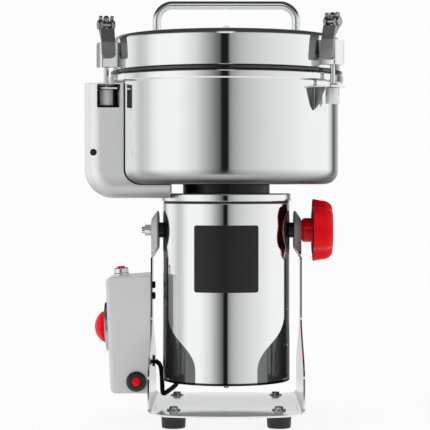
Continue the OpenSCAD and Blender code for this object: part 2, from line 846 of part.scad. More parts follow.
// Hardened ring with upright teeth that the grain is thrown against
module grind_liner() color("lightgray") at_axis()
    translate([0, 0, chamber_z + chamber_floor + bowl_corner_r])
        linear_extrude(liner_h) difference() {
            circle(chamber_r + liner_t - gap);
            circle(chamber_r + liner_t / 4);
            for (i = [0 : liner_teeth - 1]) rotate([0, 0, i * 360 / liner_teeth])
                translate([chamber_r + liner_t / 4, 0]) circle(tooth_r, $fn = 12);
        }

module shaft_seal() color("#222222") at_axis()
    ring(shaft_r + run, hub_hole_r - run, chamber_z + chamber_floor - seal_t, seal_t);

// L-shaped outline of the switch cover seen from the front
module cover_outline(inset) {
    r = cover_corner_r - inset;
    left = -cover_reach + inset;
    low = cover_z + inset;
    translate([left + r, low + r]) circle(r);
    translate([left, low + r]) square([cover_reach - bowl_r + cover_front / 2, cover_top - low - r]);
    translate([left + r, low]) square([cover_reach - cover_leg_end - cover_corner_r, cover_h]);
}

// Space that the bowl and the motor's cap take up, with a gap round them
module bowl_space() {
    translate([0, 0, bowl_z - gap])
        cylinder(h = bowl_h + 2 * gap, r = bowl_r + gap);
    translate([0, 0, cover_z - over]) cylinder(h = neck_z + gap - cover_z + over, r = cap_r + over);
}

module switch_cover() color("silver") at_axis() difference() {
    cover_block(0);
    cover_block(cover_wall);
    bowl_space();
    translate([-window_left, -cover_front - over, cover_top - window_h])
        cube([window_left - window_right, cover_wall + 2 * over, window_h - cover_wall]);
    at_clamp(-1) translate([rod_at, 0, cover_top - 2 * cover_wall])
        cylinder(h = 4 * cover_wall, r = nut_r + gap);
    translate([-cover_screw_at, -cover_front + 2 * cover_wall, cover_screw_z]) rotate([90, 0, 0])
        cylinder(h = 3 * cover_wall, r = cover_screw_r);
}

// The cover's body, from its front face to its back face
module cover_block(inset) {
    translate([0, cover_back - inset, 0]) rotate([90, 0, 0])
        linear_extrude(cover_front + cover_back - 2 * inset) cover_outline(inset);
}

module lid_switch() color("#222222") at_axis()
    translate([-rod_at - switch_w / 2, -cover_front + cover_wall + gap, switch_z])
        cube([switch_w, switch_deep, switch_h]);

module cover_screw() color("darkgray") at_axis()
    translate([-cover_screw_at, -cover_front + cover_wall, cover_screw_z]) rotate([90, 0, 0]) {
        translate([0, 0, -cover_screw_r]) cylinder(h = cover_screw_r + recess_deep, r = cover_screw_r - gap);
        translate([0, 0, cover_wall]) cylinder(h = recess_deep, r1 = recess_r, r2 = cover_screw_r);
        cylinder(h = cover_wall + recess_deep, r = cover_screw_r - gap);
    }

// Shelf and gussets on the bowl that the clamp nuts pull against
module bowl_brackets() color("silver") at_axis() difference() {
    at_both_clamps() difference() {
        union() {
            translate([bowl_r - shelf_back, -shelf_front, shelf_z - bracket_t])
                cube([shelf_reach - bowl_r + shelf_back, shelf_front + shelf_back, bracket_t]);
            for (y = [-shelf_front, shelf_back - bracket_t]) translate([0, y + bracket_t, shelf_z])
                rotate([90, 0, 0]) linear_extrude(bracket_t) polygon([[bowl_r - shelf_back, 0],
                    [shelf_reach - gusset_tip, 0], [bowl_r + gusset_tip / 2, -gusset_h],
                    [bowl_r - shelf_back, -gusset_h]]);
        }
        translate([rod_at, 0, shelf_z - 2 * bracket_t]) cylinder(h = 4 * bracket_t, r = rod_r + run);
    }
    translate([0, 0, shelf_z - gusset_h - over]) cylinder(h = gusset_h + 2 * over, r = bowl_r);
}

module clamp_rods() color("lightgray") at_axis() at_both_clamps()
    translate([rod_at, 0, shelf_z - bracket_t - nut_len])
        cylinder(h = pin_z + barrel_r - shelf_z + bracket_t + nut_len, r = rod_r);

// Slotted round nuts under the shelves
module clamp_nuts() color("gainsboro") at_axis() at_both_clamps()
    translate([rod_at, 0, shelf_z - bracket_t - nut_len]) difference() {
        cylinder(h = nut_len - gap, r = nut_r);
        translate([0, 0, -over]) cylinder(h = nut_len + 2 * over, r = rod_r + run);
        for (i = [0 : nut_slots - 1]) rotate([0, 0, i * 360 / nut_slots])
            translate([nut_r - nut_slot_deep, -nut_slot_w / 2, nut_len / 2])
                cube([nut_r, nut_slot_w, nut_len]);
    }

module pivot_spacers() color("#151515") at_axis() for (side = [-1, 1])
    translate([side * motor_r, 0, pivot_z]) along_x(side) difference() {
        translate([0, 0, -spacer_seat()]) cylinder(h = arm_inner - motor_r - gap + spacer_seat(),
            r = spacer_r);
        translate([0, 0, -over - spacer_seat()])
            cylinder(h = arm_inner - motor_r + spacer_seat() + 2 * over, r = pivot_r + screw_fit);
        translate([0, 0, -motor_r]) rotate([0, -side * 90, 0]) translate([0, 0, -ear_r])
            cylinder(h = 2 * ear_r, r = motor_r + screw_fit / 2);
    }

// How far a spacer reaches back to follow the housing's round wall
function spacer_seat() = motor_r - sqrt(pow(motor_r, 2) - pow(spacer_r, 2));

// Hexagon nut inside the housing that a pivot screw holds on
module inner_nut(side) {
    translate([side * (motor_r - motor_wall - over), 0, pivot_z]) along_x(-side)
        cylinder(h = inner_nut_t, r = inner_nut_r, $fn = 6);
}

module pivot_bolt() color("lightgray") at_axis() {
    translate([-(motor_r - motor_wall - inner_nut_t), 0, pivot_z]) along_x(-1)
        cylinder(h = stand_half_w - motor_r + motor_wall + inner_nut_t + pivot_nut_t + bolt_tip
            + gap, r = pivot_r);
    inner_nut(-1);
}

module pivot_nut() color("lightgray") at_axis()
    translate([-stand_half_w - gap, 0, pivot_z]) along_x(-1) difference() {
        cylinder(h = pivot_nut_t, r = nut_flat_r, $fn = 6);
        translate([0, 0, -over]) cylinder(h = pivot_nut_t + 2 * over, r = pivot_r + run);
    }

module lock_stud() color("lightgray") at_axis() {
    translate([motor_r - motor_wall - inner_nut_t, 0, pivot_z]) along_x(1)
        cylinder(h = stand_half_w - motor_r + motor_wall + inner_nut_t + knob_hub_len
            + knob_t / 2 - stud_end, r = pivot_r);
    inner_nut(1);
}

// The knob's head: a lobed block turned down to a cone with a rounded outer edge
module knob_head() {
    top = knob_r - knob_taper - knob_edge_r;
    intersection() {
        linear_extrude(knob_t) {
            circle(knob_r * knob_core_share);
            for (i = [0 : knob_lobes - 1]) rotate([0, 0, knob_lobe_turn + i * 360 / knob_lobes])
                translate([knob_r * (1 - knob_lobe_share), 0]) circle(knob_r * knob_lobe_share);
        }
        rotate_extrude() {
            polygon([[0, 0], [knob_r, 0], [top + knob_edge_r, knob_t - knob_edge_r],
                [0, knob_t - knob_edge_r]]);
            square([top, knob_t]);
            translate([top, knob_t - knob_edge_r]) circle(knob_edge_r);
        }
    }
}

module tilt_knob() color("red") at_axis()
    translate([stand_half_w + gap, 0, pivot_z]) along_x(1) difference() {
        union() {
            cylinder(h = knob_hub_len + over, r = knob_hub_r);
            translate([0, 0, knob_hub_len]) knob_head();
        }
        translate([0, 0, -over]) cylinder(h = knob_hub_len + knob_t / 2 + over, r = pivot_r + run);
    }

// Smooths a path by cutting its corners
function smoothed(path) = concat([path[0]], [for (i = [0 : len(path) - 2], share = [0.25, 0.75])
    path[i] * (1 - share) + path[i + 1] * share], [path[len(path) - 1]]);

// Ring of points round a path at one of its places
function cable_ring(path, i, r) =
    let (
        ahead = path[min(i + 1, len(path) - 1)] - path[max(i - 1, 0)],
        t = ahead / norm(ahead),
        s = cross(t, [0.2, 1, 0.1]),
        u = s / norm(s),
        v = cross(t, u)
    )
    [for (k = [0 : cable_sides - 1])
        path[i] + r * (u * cos(360 * k / cable_sides) + v * sin(360 * k / cable_sides))];

// A round tube along a path
module tube(path, r) {
    n = cable_sides;
    last = len(path) - 1;
    polyhedron(
        points = [for (i = [0 : last], p = cable_ring(path, i, r)) p],
        faces = concat(
            [[for (k = [0 : n - 1]) k]],
            [for (i = [0 : last - 1], k = [0 : n - 1])
                [i * n + k, (i + 1) * n + (k + 1) % n, i * n + (k + 1) % n]],
            [for (i = [0 : last - 1], k = [0 : n - 1])
                [i * n + k, (i + 1) * n + k, (i + 1) * n + (k + 1) % n]],
            [[for (k = [n - 1 : -1 : 0]) last * n + k]]
        )
    );
}

module motor_cable() color("#111111") at_axis() tube(smoothed(smoothed(cable_route)), cable_r);

module rotor_shaft() color("lightgray") at_axis() translate([0, 0, motor_z + base_plate_t + run])
    cylinder(h = hub_z + blade_hub_h + blade_nut_h + 2 * blade_t - motor_z - base_plate_t, r = shaft_r);

module rotor_core() color("gray") at_axis()
    ring(shaft_r + run, core_r, stator_z, stack_len);

module cooling_fan() color("#222222") at_axis() {
    ring(shaft_r + run, fan_hub_r, fan_z, fan_h);
    ring(fan_hub_r - run, fan_r, fan_z, fan_t);
    for (i = [0 : fan_blades - 1]) rotate([0, 0, i * 360 / fan_blades])
        translate([fan_hub_r - over, -fan_blade_t / 2, fan_z + fan_t / 2])
            cube([fan_r - fan_hub_r - over, fan_blade_t, fan_h - fan_t / 2]);
}

module blade_hub() color("lightgray") at_axis()
    ring(shaft_r + run, blade_hub_r, hub_z, blade_hub_h);

// Outline of one two-ended blade, wide at the middle and slanted at its ends
module blade_outline(half_len) {
    w = blade_w / 2;
    t = blade_tip_w / 2;
    polygon([[-w, -w], [w, -w], [half_len, -t], [half_len - blade_w / 3, t], [w, w],
        [-w, w], [-half_len, t], [blade_w / 3 - half_len, -t]]);
}

module blades() color("gainsboro") at_axis() translate([0, 0, hub_z + blade_hub_h]) difference() {
    union() {
        linear_extrude(blade_t) blade_outline(low_blade_len);
        translate([0, 0, blade_t]) rotate([0, 0, 90]) linear_extrude(blade_t)
            blade_outline(high_blade_len);
    }
    translate([0, 0, -over]) cylinder(h = 2 * (blade_t + over), r = shaft_r + run);
}

module blade_nut() color("lightgray") at_axis()
    translate([0, 0, hub_z + blade_hub_h + 2 * blade_t]) difference() {
        cylinder(h = blade_nut_h, r = blade_nut_r, $fn = 6);
        translate([0, 0, -over]) cylinder(h = blade_nut_h + 2 * over, r = shaft_r + run);
    }

module lid_shell() color("silver") at_axis() difference() {
    rotate_extrude() difference() {
        union() {
            translate([0, rim_top + gap]) square([bead_r - bead_h / 2, bead_h]);
            translate([bead_r - bead_h / 2, rim_top + gap + bead_h / 2]) circle(bead_h / 2);
            lid_profile(0);
        }
        lid_profile(lid_sheet);
    }
}

// Half profile of the lid: a straight wall, a rounded shoulder and a flat top
module lid_profile(inset) {
    r = lid_r - inset;
    top = lid_top - inset;
    corner = shoulder_r - inset / 2;
    low = rim_top + gap - (inset > 0 ? over : 0);
    translate([0, low]) square([r, top - corner - low]);
    translate([0, low]) square([r - corner, top - low]);
    translate([r - corner, top - corner]) circle(corner);
}

module lid_plate() color("gainsboro") at_axis()
    translate([0, 0, rim_top + gap]) cylinder(h = lid_plate_t, r = lid_plate_r);

module lid_gasket() color("#dddddd") at_axis()
    ring(gasket_r - gasket_w / 2, gasket_r + gasket_w / 2, rim_top + gap - gasket_h, gasket_h);

module lid_handle() color("lightgray") at_axis() {
    r = handle_d / 2;
    leg = handle_w / 2 - r;
    bend_z = handle_top - r - handle_bend_r;
    for (side = [-1, 1]) {
        translate([side * leg, 0, lid_top]) cylinder(h = bend_z - lid_top, r = r);
        translate([side * leg, 0, lid_top]) cylinder(h = handle_foot_h, r = handle_foot_r);
        translate([side * (leg - handle_bend_r), 0, bend_z]) rotate([90, 0, 0])
            rotate([0, 0, side > 0 ? 0 : 90]) rotate_extrude(angle = 90)
                translate([handle_bend_r, 0]) circle(r);
    }
    translate([-leg + handle_bend_r, 0, handle_top - r]) rotate([0, 90, 0])
        cylinder(h = 2 * (leg - handle_bend_r), r = r);
}

module lid_nut() color("lightgray") at_axis() translate([0, 0, lid_top]) {
    cylinder(h = lid_nut_h - lid_nut_r, r = lid_nut_r);
    translate([0, 0, lid_nut_h - lid_nut_r]) rotate_extrude() intersection() {
        circle(lid_nut_r);
        square(lid_nut_r);
    }
}

// Channels on the lid that the levers press down: a back wall, with a slotted top and bottom
module lid_brackets() color("silver") at_axis() difference() {
    at_both_clamps() difference() {
        union() {
            translate([lid_r - shelf_back, bracket_back - bracket_t, bracket_z])
                cube([bracket_reach - lid_r + shelf_back, bracket_t, bracket_h]);
            for (z = [bracket_z, bracket_z + bracket_h - bracket_t])
                translate([lid_r - shelf_back, bracket_back - bracket_deep, z])
                    cube([bracket_reach - lid_r + shelf_back, bracket_deep, bracket_t]);
        }
        translate([rod_at, 0, bracket_z - over])
            cylinder(h = bracket_h + 2 * over, r = slot_half_w);
        translate([rod_at - slot_half_w, -bracket_deep, bracket_z - over])
            cube([2 * slot_half_w, bracket_deep, bracket_h + 2 * over]);
    }
    translate([0, 0, bracket_z - over]) cylinder(h = bracket_h + 2 * over, r = lid_r);
}

module bracket_rivets() color("gray") at_axis() at_both_clamps()
    translate([rod_at, bracket_back - bracket_t, bracket_z + bracket_h / 2]) rotate([90, 0, 0])
        cylinder(h = rivet_h, r1 = rivet_r, r2 = rivet_r / 2);

// Cross pins with the barrels that ride on the rods
module lever_pins() color("lightgray") at_axis() at_both_clamps() difference() {
    translate([rod_at, 0, pin_z]) union() {
        translate([-barrel_len / 2, 0, 0]) rotate([0, 90, 0]) cylinder(h = barrel_len, r = barrel_r);
        translate([-lever_w / 2 - gap, 0, 0]) rotate([0, 90, 0])
            cylinder(h = lever_w + 2 * gap, r = pin_r);
        translate([lever_w / 2 + gap, 0, 0]) rotate([0, 90, 0])
            cylinder(h = pin_head_t, r = pin_head_r);
        translate([-lever_w / 2 - gap - pin_head_t, 0, 0]) rotate([0, 90, 0])
            cylinder(h = pin_head_t, r = pin_head_r - pin_head_t / 2);
    }
    translate([rod_at, 0, pin_z - 2 * barrel_r]) cylinder(h = 4 * barrel_r, r = rod_r + run);
}

module dome_nuts() color("lightgray") at_axis() at_both_clamps()
    translate([rod_at, 0, pin_z + barrel_r + run]) {
        cylinder(h = dome_h - dome_r, r = dome_r);
        translate([0, 0, dome_h - dome_r]) rotate_extrude() intersection() {
            circle(dome_r);
            square(dome_r);
        }
    }

// Side outline of a lever's cheek, drawn about the pin, with the front to the left
module cheek_outline() {
    circle(boss_r);
    hull() {
        circle(prong_half_w);
        translate([0, prong_up - prong_half_w]) circle(prong_half_w);
    }
    hull() {
        circle(boss_r);
        translate([0, prong_half_w - heel_r]) circle(prong_half_w);
        translate([web_t / 2 - web_front, -web_down - web_t / 2]) circle(web_t / 2);
        translate([web_t / 2 - web_front - web_slant / 2, web_t / 2 - heel_r]) circle(web_t / 2);
    }
}

// Side outline of the web: straight, then bent out twice towards its foot
module web_outline() {
    zs = [-web_down, -lever_len * web_bend_one_share, -lever_len * web_bend_two_share, -lever_len];
    ys = [-web_front, -web_front - web_slant * web_lean_shares[0],
        -web_front - web_slant * web_lean_shares[1], -web_front - web_slant * web_lean_shares[2]];
    polygon(concat([for (i = [0 : 3]) [ys[i], zs[i]]],
        [for (i = [3 : -1 : 0]) [ys[i] + web_t, zs[i]]]));
}

// Front outline of the lever's web, with round lower corners, drawn about the pin
module web_front_outline() {
    translate([-lever_w / 2, web_corner_r - lever_len]) square([lever_w, lever_len]);
    for (side = [-1, 1]) translate([side * (lever_w / 2 - web_corner_r), web_corner_r - lever_len])
        circle(web_corner_r);
    translate([web_corner_r - lever_w / 2, -lever_len]) square([lever_w - 2 * web_corner_r, web_corner_r]);
}

// A clamp lever: two cheeks on the pin, joined by a bent web that is pulled to open
module lever(side) {
    at_axis() at_clamp(side) difference() {
        translate([rod_at, 0, pin_z]) {
            for (x = [-lever_w / 2, lever_w / 2 - lever_t]) translate([x, 0, 0])
                rotate([90, 0, 90]) linear_extrude(lever_t) cheek_outline();
            intersection() {
                translate([-lever_w / 2, 0, 0]) rotate([90, 0, 90])
                    linear_extrude(lever_w) web_outline();
                translate([0, lever_w, 0]) rotate([90, 0, 0])
                    linear_extrude(3 * lever_w) web_front_outline();
            }
        }
        translate([rod_at - lever_w, 0, pin_z]) rotate([0, 90, 0])
            cylinder(h = 2 * lever_w, r = pin_r + run);
    }
}

module left_lever() color("#6a6a6c") lever(-1);

module right_lever() color("#6a6a6c") lever(1);

stand_frame();
rubber_feet();
foot_screws();
box_screws();
control_box();
timer_body();
timer_dial_ring();
timer_knob();
button_bezel();
power_button();
reset_boot();
reset_button();
cord_gland();
cable_grommet();
motor_housing();
cap_gasket();
motor_top_cap();
motor_base();
base_screws();
neck_ring();
label_plate();
stator();
bearing_lower();
bearing_upper();
bowl();
chamber();
grind_liner();
shaft_seal();
switch_cover();
lid_switch();
cover_screw();
bowl_brackets();
clamp_rods();
clamp_nuts();
pivot_spacers();
pivot_bolt();
pivot_nut();
lock_stud();
motor_cable();
rotor_shaft();
rotor_core();
cooling_fan();
blade_hub();
blades();
blade_nut();
lid_shell();
lid_plate();
lid_gasket();
lid_handle();
lid_nut();
lid_brackets();
bracket_rivets();
lever_pins();
dome_nuts();
left_lever();
right_lever();
tilt_knob();
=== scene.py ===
"""Studio scene of an electric grain mill with a tilting grinding bowl.

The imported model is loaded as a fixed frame. Each sub-assembly is a class that builds its own meshes
and dresses them. Sizes are in millimetres about the mill's own upright axis, until Piece.settle moves
a finished mesh into the frame, which is in metres.
"""

from __future__ import annotations

import json
import logging
import math
from dataclasses import dataclass, field
from enum import Enum
from typing import Callable, Mapping, Sequence

import bmesh
import bpy
from mathutils import Matrix, Vector

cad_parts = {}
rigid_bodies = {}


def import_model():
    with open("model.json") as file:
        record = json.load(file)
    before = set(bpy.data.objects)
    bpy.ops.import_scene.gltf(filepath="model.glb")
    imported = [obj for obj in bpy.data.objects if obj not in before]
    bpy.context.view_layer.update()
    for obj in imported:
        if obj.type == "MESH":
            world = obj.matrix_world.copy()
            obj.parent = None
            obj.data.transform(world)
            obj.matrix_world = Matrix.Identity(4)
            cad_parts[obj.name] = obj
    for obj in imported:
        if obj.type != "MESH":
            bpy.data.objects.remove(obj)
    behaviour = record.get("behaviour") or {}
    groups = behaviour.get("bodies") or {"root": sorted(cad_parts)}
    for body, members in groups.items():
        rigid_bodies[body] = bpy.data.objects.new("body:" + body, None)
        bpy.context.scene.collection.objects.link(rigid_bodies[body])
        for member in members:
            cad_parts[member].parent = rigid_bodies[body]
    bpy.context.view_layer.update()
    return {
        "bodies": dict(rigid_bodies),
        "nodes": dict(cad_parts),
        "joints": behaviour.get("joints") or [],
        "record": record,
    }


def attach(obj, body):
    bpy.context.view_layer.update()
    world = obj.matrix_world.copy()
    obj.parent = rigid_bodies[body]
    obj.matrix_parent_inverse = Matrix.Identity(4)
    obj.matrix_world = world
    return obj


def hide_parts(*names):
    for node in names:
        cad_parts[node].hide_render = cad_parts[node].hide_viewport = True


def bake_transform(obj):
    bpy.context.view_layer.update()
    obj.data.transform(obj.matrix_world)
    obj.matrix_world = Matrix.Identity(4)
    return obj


LOG = logging.getLogger("grain_mill")
# Metres in a millimetre, and the place of the mill's axis in the frame in millimetres
METRES = 0.001
AXIS_X = 13.0
TO_FRAME = Matrix.Scale(METRES, 4) @ Matrix.Translation((AXIS_X, 0, 0))
# Frames that turn an outline drawn flat: out along X, and out along Y
SIDEWAYS = Matrix(((0, 0, 1, 0), (1, 0, 0, 0), (0, 1, 0, 0), (0, 0, 0, 1)))
ACROSS = Matrix(((1, 0, 0, 0), (0, 0, 1, 0), (0, 1, 0, 0), (0, 0, 0, 1)))
# Frames that turn the Z axis to X, and to the front
ONTO_X = Matrix.Rotation(math.pi / 2, 4, "Y")
ONTO_FRONT = Matrix.Rotation(math.pi / 2, 4, "X")
# Millimetres: the nearest that a rounded outline comes to its axis, and what counts as one point
NEAR_AXIS = 0.01
SAME_POINT = 0.0005
Outline = list[tuple[float, float]]
Corners = Sequence[tuple[float, float, float]]
Colour = tuple[float, float, float]
Value = bpy.types.NodeSocket | float | Sequence[float]


# Node trees


def grey(level: float) -> tuple[float, float, float, float]:
    """A solid grey of that brightness."""
    return level, level, level, 1.0


class Graph:
    """A node tree under construction."""

    def __init__(self, tree: bpy.types.NodeTree) -> None:
        """Works on a tree."""
        self.tree = tree

    def feed(self, node: bpy.types.Node, key: str | int, value: Value) -> None:
        """Fills one input of a node.

        Args:
            node: The node.
            key: The input's name or number.
            value: A socket to link, or a value to set.
        """
        if isinstance(value, bpy.types.NodeSocket):
            self.tree.links.new(value, node.inputs[key])
        else:
            node.inputs[key].default_value = value

    def add(self, kind: str, feeds: Mapping[str | int, Value] | None = None,
            **settings: object) -> bpy.types.Node:
        """Adds a node.

        Args:
            kind: The node's type name.
            feeds: What its inputs are filled with, by name or number.
            **settings: Attributes to set on it.

        Returns:
            The new node.
        """
        made = self.tree.nodes.new(kind)
        for key, value in settings.items():
            setattr(made, key, value)
        for key, value in (feeds or {}).items():
            self.feed(made, key, value)
        return made

    def calc(self, operation: str, *values: Value, clamp: bool = False) -> bpy.types.NodeSocket:
        """Adds one sum.

        Args:
            operation: The sum.
            *values: What goes in, sockets or numbers.
            clamp: Whether the result stays between 0 and 1.

        Returns:
            The result's socket.
        """
        made = self.add("ShaderNodeMath", dict(enumerate(values)), operation=operation, use_clamp=clamp)
        return made.outputs[0]

    def split(self, vector: bpy.types.NodeSocket) -> bpy.types.NodeOutputs:
        """The X, Y and Z of a vector."""
        return self.add("ShaderNodeSeparateXYZ", {0: vector}).outputs

    def mixed(self, share: bpy.types.NodeSocket, first: bpy.types.Node,
              second: bpy.types.Node) -> bpy.types.Node:
        """Mixes two shaders: the first where the share is 0, the second where it is 1."""
        return self.add("ShaderNodeMixShader", {"Fac": share, 1: first.outputs[0], 2: second.outputs[0]})


# Finishes


class Grain(Enum):
    """Which way a metal surface was worked."""

    ROUND = "round"
    UPRIGHT = "upright"
    EVEN = "even"


class Shader(Graph):
    """A procedural material under construction."""

    def __init__(self, name: str) -> None:
        """Starts the material of that name."""
        self.material = bpy.data.materials.new(name)
        self.material.use_nodes = True
        super().__init__(self.material.node_tree)
        self.surface = self.tree.nodes["Principled BSDF"]

    def give(self, **values: Value) -> None:
        """Fills inputs of the surface shader.

        Args:
            **values: Names of the inputs with underscores for spaces, and what they are filled with.
        """
        for key, value in values.items():
            self.feed(self.surface, key.replace("_", " "), value)

    def place(self, scale: Sequence[float] = (1, 1, 1)) -> bpy.types.NodeSocket:
        """Object coordinates, centred on the mill's axis.

        Args:
            scale: Stretch along each axis.

        Returns:
            The vector socket.
        """
        coordinate = self.add("ShaderNodeTexCoord").outputs["Object"]
        feeds = {"Vector": coordinate, "Location": (AXIS_X * METRES, 0, 0), "Scale": [1 / s for s in scale]}
        return self.add("ShaderNodeMapping", feeds, vector_type="TEXTURE").outputs["Vector"]

    def turned(self, scale: float, around: float = 0.6) -> bpy.types.NodeSocket:
        """Coordinates that stay alike round the upright axis, for a surface worked on a lathe.

        Args:
            scale: Lines to a metre, about.
            around: Lines to a radian round the axis.

        Returns:
            The vector socket.
        """
        here = self.split(self.place())
        flat = self.add("ShaderNodeCombineXYZ", {"X": here["X"], "Y": here["Y"]})
        far = self.add("ShaderNodeVectorMath", {0: flat.outputs[0]}, operation="LENGTH")
        angle = self.calc("ARCTAN2", here["Y"], here["X"])
        feeds = {"X": self.calc("MULTIPLY", far.outputs["Value"], scale),
                 "Y": self.calc("MULTIPLY", angle, around),
                 "Z": self.calc("MULTIPLY", here["Z"], scale)}
        return self.add("ShaderNodeCombineXYZ", feeds).outputs[0]

    def noise(self, vector: bpy.types.NodeSocket, detail: float = 3.0) -> bpy.types.NodeSocket:
        """Noise on a vector.

        Args:
            vector: Where to read it.
            detail: Its octaves.

        Returns:
            The value socket.
        """
        feeds = {"Vector": vector, "Scale": 1.0, "Detail": detail}
        return self.add("ShaderNodeTexNoise", feeds).outputs["Fac"]

    def blend(self, value: bpy.types.NodeSocket, first: Colour, second: Colour, low: float = 0.3,
              high: float = 0.7) -> bpy.types.NodeSocket:
        """A colour between two, by a value.

        Args:
            value: The value that chooses.
            first: Colour at the low end.
            second: Colour at the high end.
            low: Where the first colour ends.
            high: Where the second colour starts.

        Returns:
            The colour socket.
        """
        ramp = self.add("ShaderNodeValToRGB", {"Fac": value})
        for stop, (place, colour) in zip(ramp.color_ramp.elements, ((low, first), (high, second))):
            stop.position = place
            stop.color = (*colour, 1)
        return ramp.outputs["Color"]

    def rescale(self, value: bpy.types.NodeSocket, start: tuple[float, float],
                end: tuple[float, float] = (0.0, 1.0)) -> bpy.types.NodeSocket:
        """Maps a value from one range to another, and keeps it there.

        Args:
            value: The value.
            start: The range that it has.
            end: The range that it gets.

        Returns:
            The mapped value's socket.
        """
        feeds = {"Value": value, "From Min": start[0], "From Max": start[1], "To Min": end[0],
                 "To Max": end[1]}
        return self.add("ShaderNodeMapRange", feeds).outputs["Result"]

    def spread(self, value: bpy.types.NodeSocket, low: float, high: float) -> bpy.types.NodeSocket:
        """Maps noise, which is mostly between 0.3 and 0.7, to a range from low to high."""
        return self.rescale(value, (0.3, 0.7), (low, high))

    def bump(self, height: bpy.types.NodeSocket, strength: float, distance: float) -> None:
        """Roughens the surface's normal.

        Args:
            height: The height to follow.
            strength: How strongly.
            distance: The height's full size in metres.
        """
        made = self.add("ShaderNodeBump", {"Height": height, "Strength": strength, "Distance": distance})
        self.give(Normal=made.outputs["Normal"])

    def below(self, low: float, high: float) -> bpy.types.NodeSocket:
        """How far a point is below a height.

        Args:
            low: Height in metres where the share is 1.
            high: Height in metres where it is 0.

        Returns:
            The share's socket.
        """
        return self.rescale(self.split(self.place())["Z"], (low, high), (1.0, 0.0))

    # Mask of the painted shade on faces turned in towards the mill's axis.
    def facing_axis(self, slope: float = -2.0, start: float = -0.4) -> bpy.types.NodeSocket:
        """How far a face looks sideways at the mill's upright axis, from 0 to 1.

        Args:
            slope: How fast the share rises as the face's outward part gets less.
            start: The share of an upright face that looks to the front, before it is kept at 0 or more.

        Returns:
            The share's socket.
        """
        side = self.calc("SIGN", self.split(self.place())["X"])
        normal = self.split(self.add("ShaderNodeNewGeometry").outputs["Normal"])
        outward = self.calc("MULTIPLY", side, normal["X"])
        return self.calc("MULTIPLY_ADD", outward, slope, start, clamp=True)

    def facing_up(self, edges: tuple[float, float] = (0.94, 0.985)) -> bpy.types.NodeSocket:
        """How far a face of the piece looks up.

        Args:
            edges: Upward part of the face's normal where the share is 0 and where it is 1.

        Returns:
            The share's socket.
        """
        normal = self.split(self.add("ShaderNodeTexCoord").outputs["Normal"])
        return self.rescale(normal["Z"], edges)

    def raised(self, value: bpy.types.NodeSocket, share: bpy.types.NodeSocket,
               more: float) -> bpy.types.NodeSocket:
        """Raises a value where a share says so.

        Args:
            value: The value.
            share: Where it is raised, from 0 to 1.
            more: How much is added where the share is 1.

        Returns:
            The value's socket.
        """
        return self.calc("MULTIPLY_ADD", share, more, value)

    def dimmed(self, colour: bpy.types.NodeSocket, share: bpy.types.NodeSocket,
               level: float) -> bpy.types.NodeSocket:
        """Darkens a colour by a share.

        Args:
            colour: The colour.
            share: Where it is darker, from 0 to 1.
            level: Its brightness where the share is 1.

        Returns:
            The colour's socket.
        """
        factor = self.calc("MULTIPLY_ADD", share, level - 1, 1.0)
        return self.add("ShaderNodeVectorMath", {0: colour, "Scale": factor}, operation="SCALE").outputs[0]


@dataclass(frozen=True)
class PaintedShade:
    """Painted shade: a part of a surface that is darker towards its bottom, where shade falls.

    Attributes:
        low: Height in metres where it is darkest.
        high: Height in metres above which it is as bright as elsewhere.
        level: Its brightness where it is darkest.
        dull: How much rougher it is there.
    """

    low: float
    high: float
    level: float
    dull: float = 0.0


@dataclass(frozen=True)
class Satin:
    """A part of a surface that is brushed dull from a height up.

    Attributes:
        height: The height in metres.
        fade: How far below it the brushing sets in, in metres.
        dull: How much rougher it is.
        level: Its brightness.
        metal: How much of it shines as bare metal.
    """

    height: float
    fade: float = 0.006
    dull: float = 0.34
    level: float = 0.66
    metal: float = 0.45


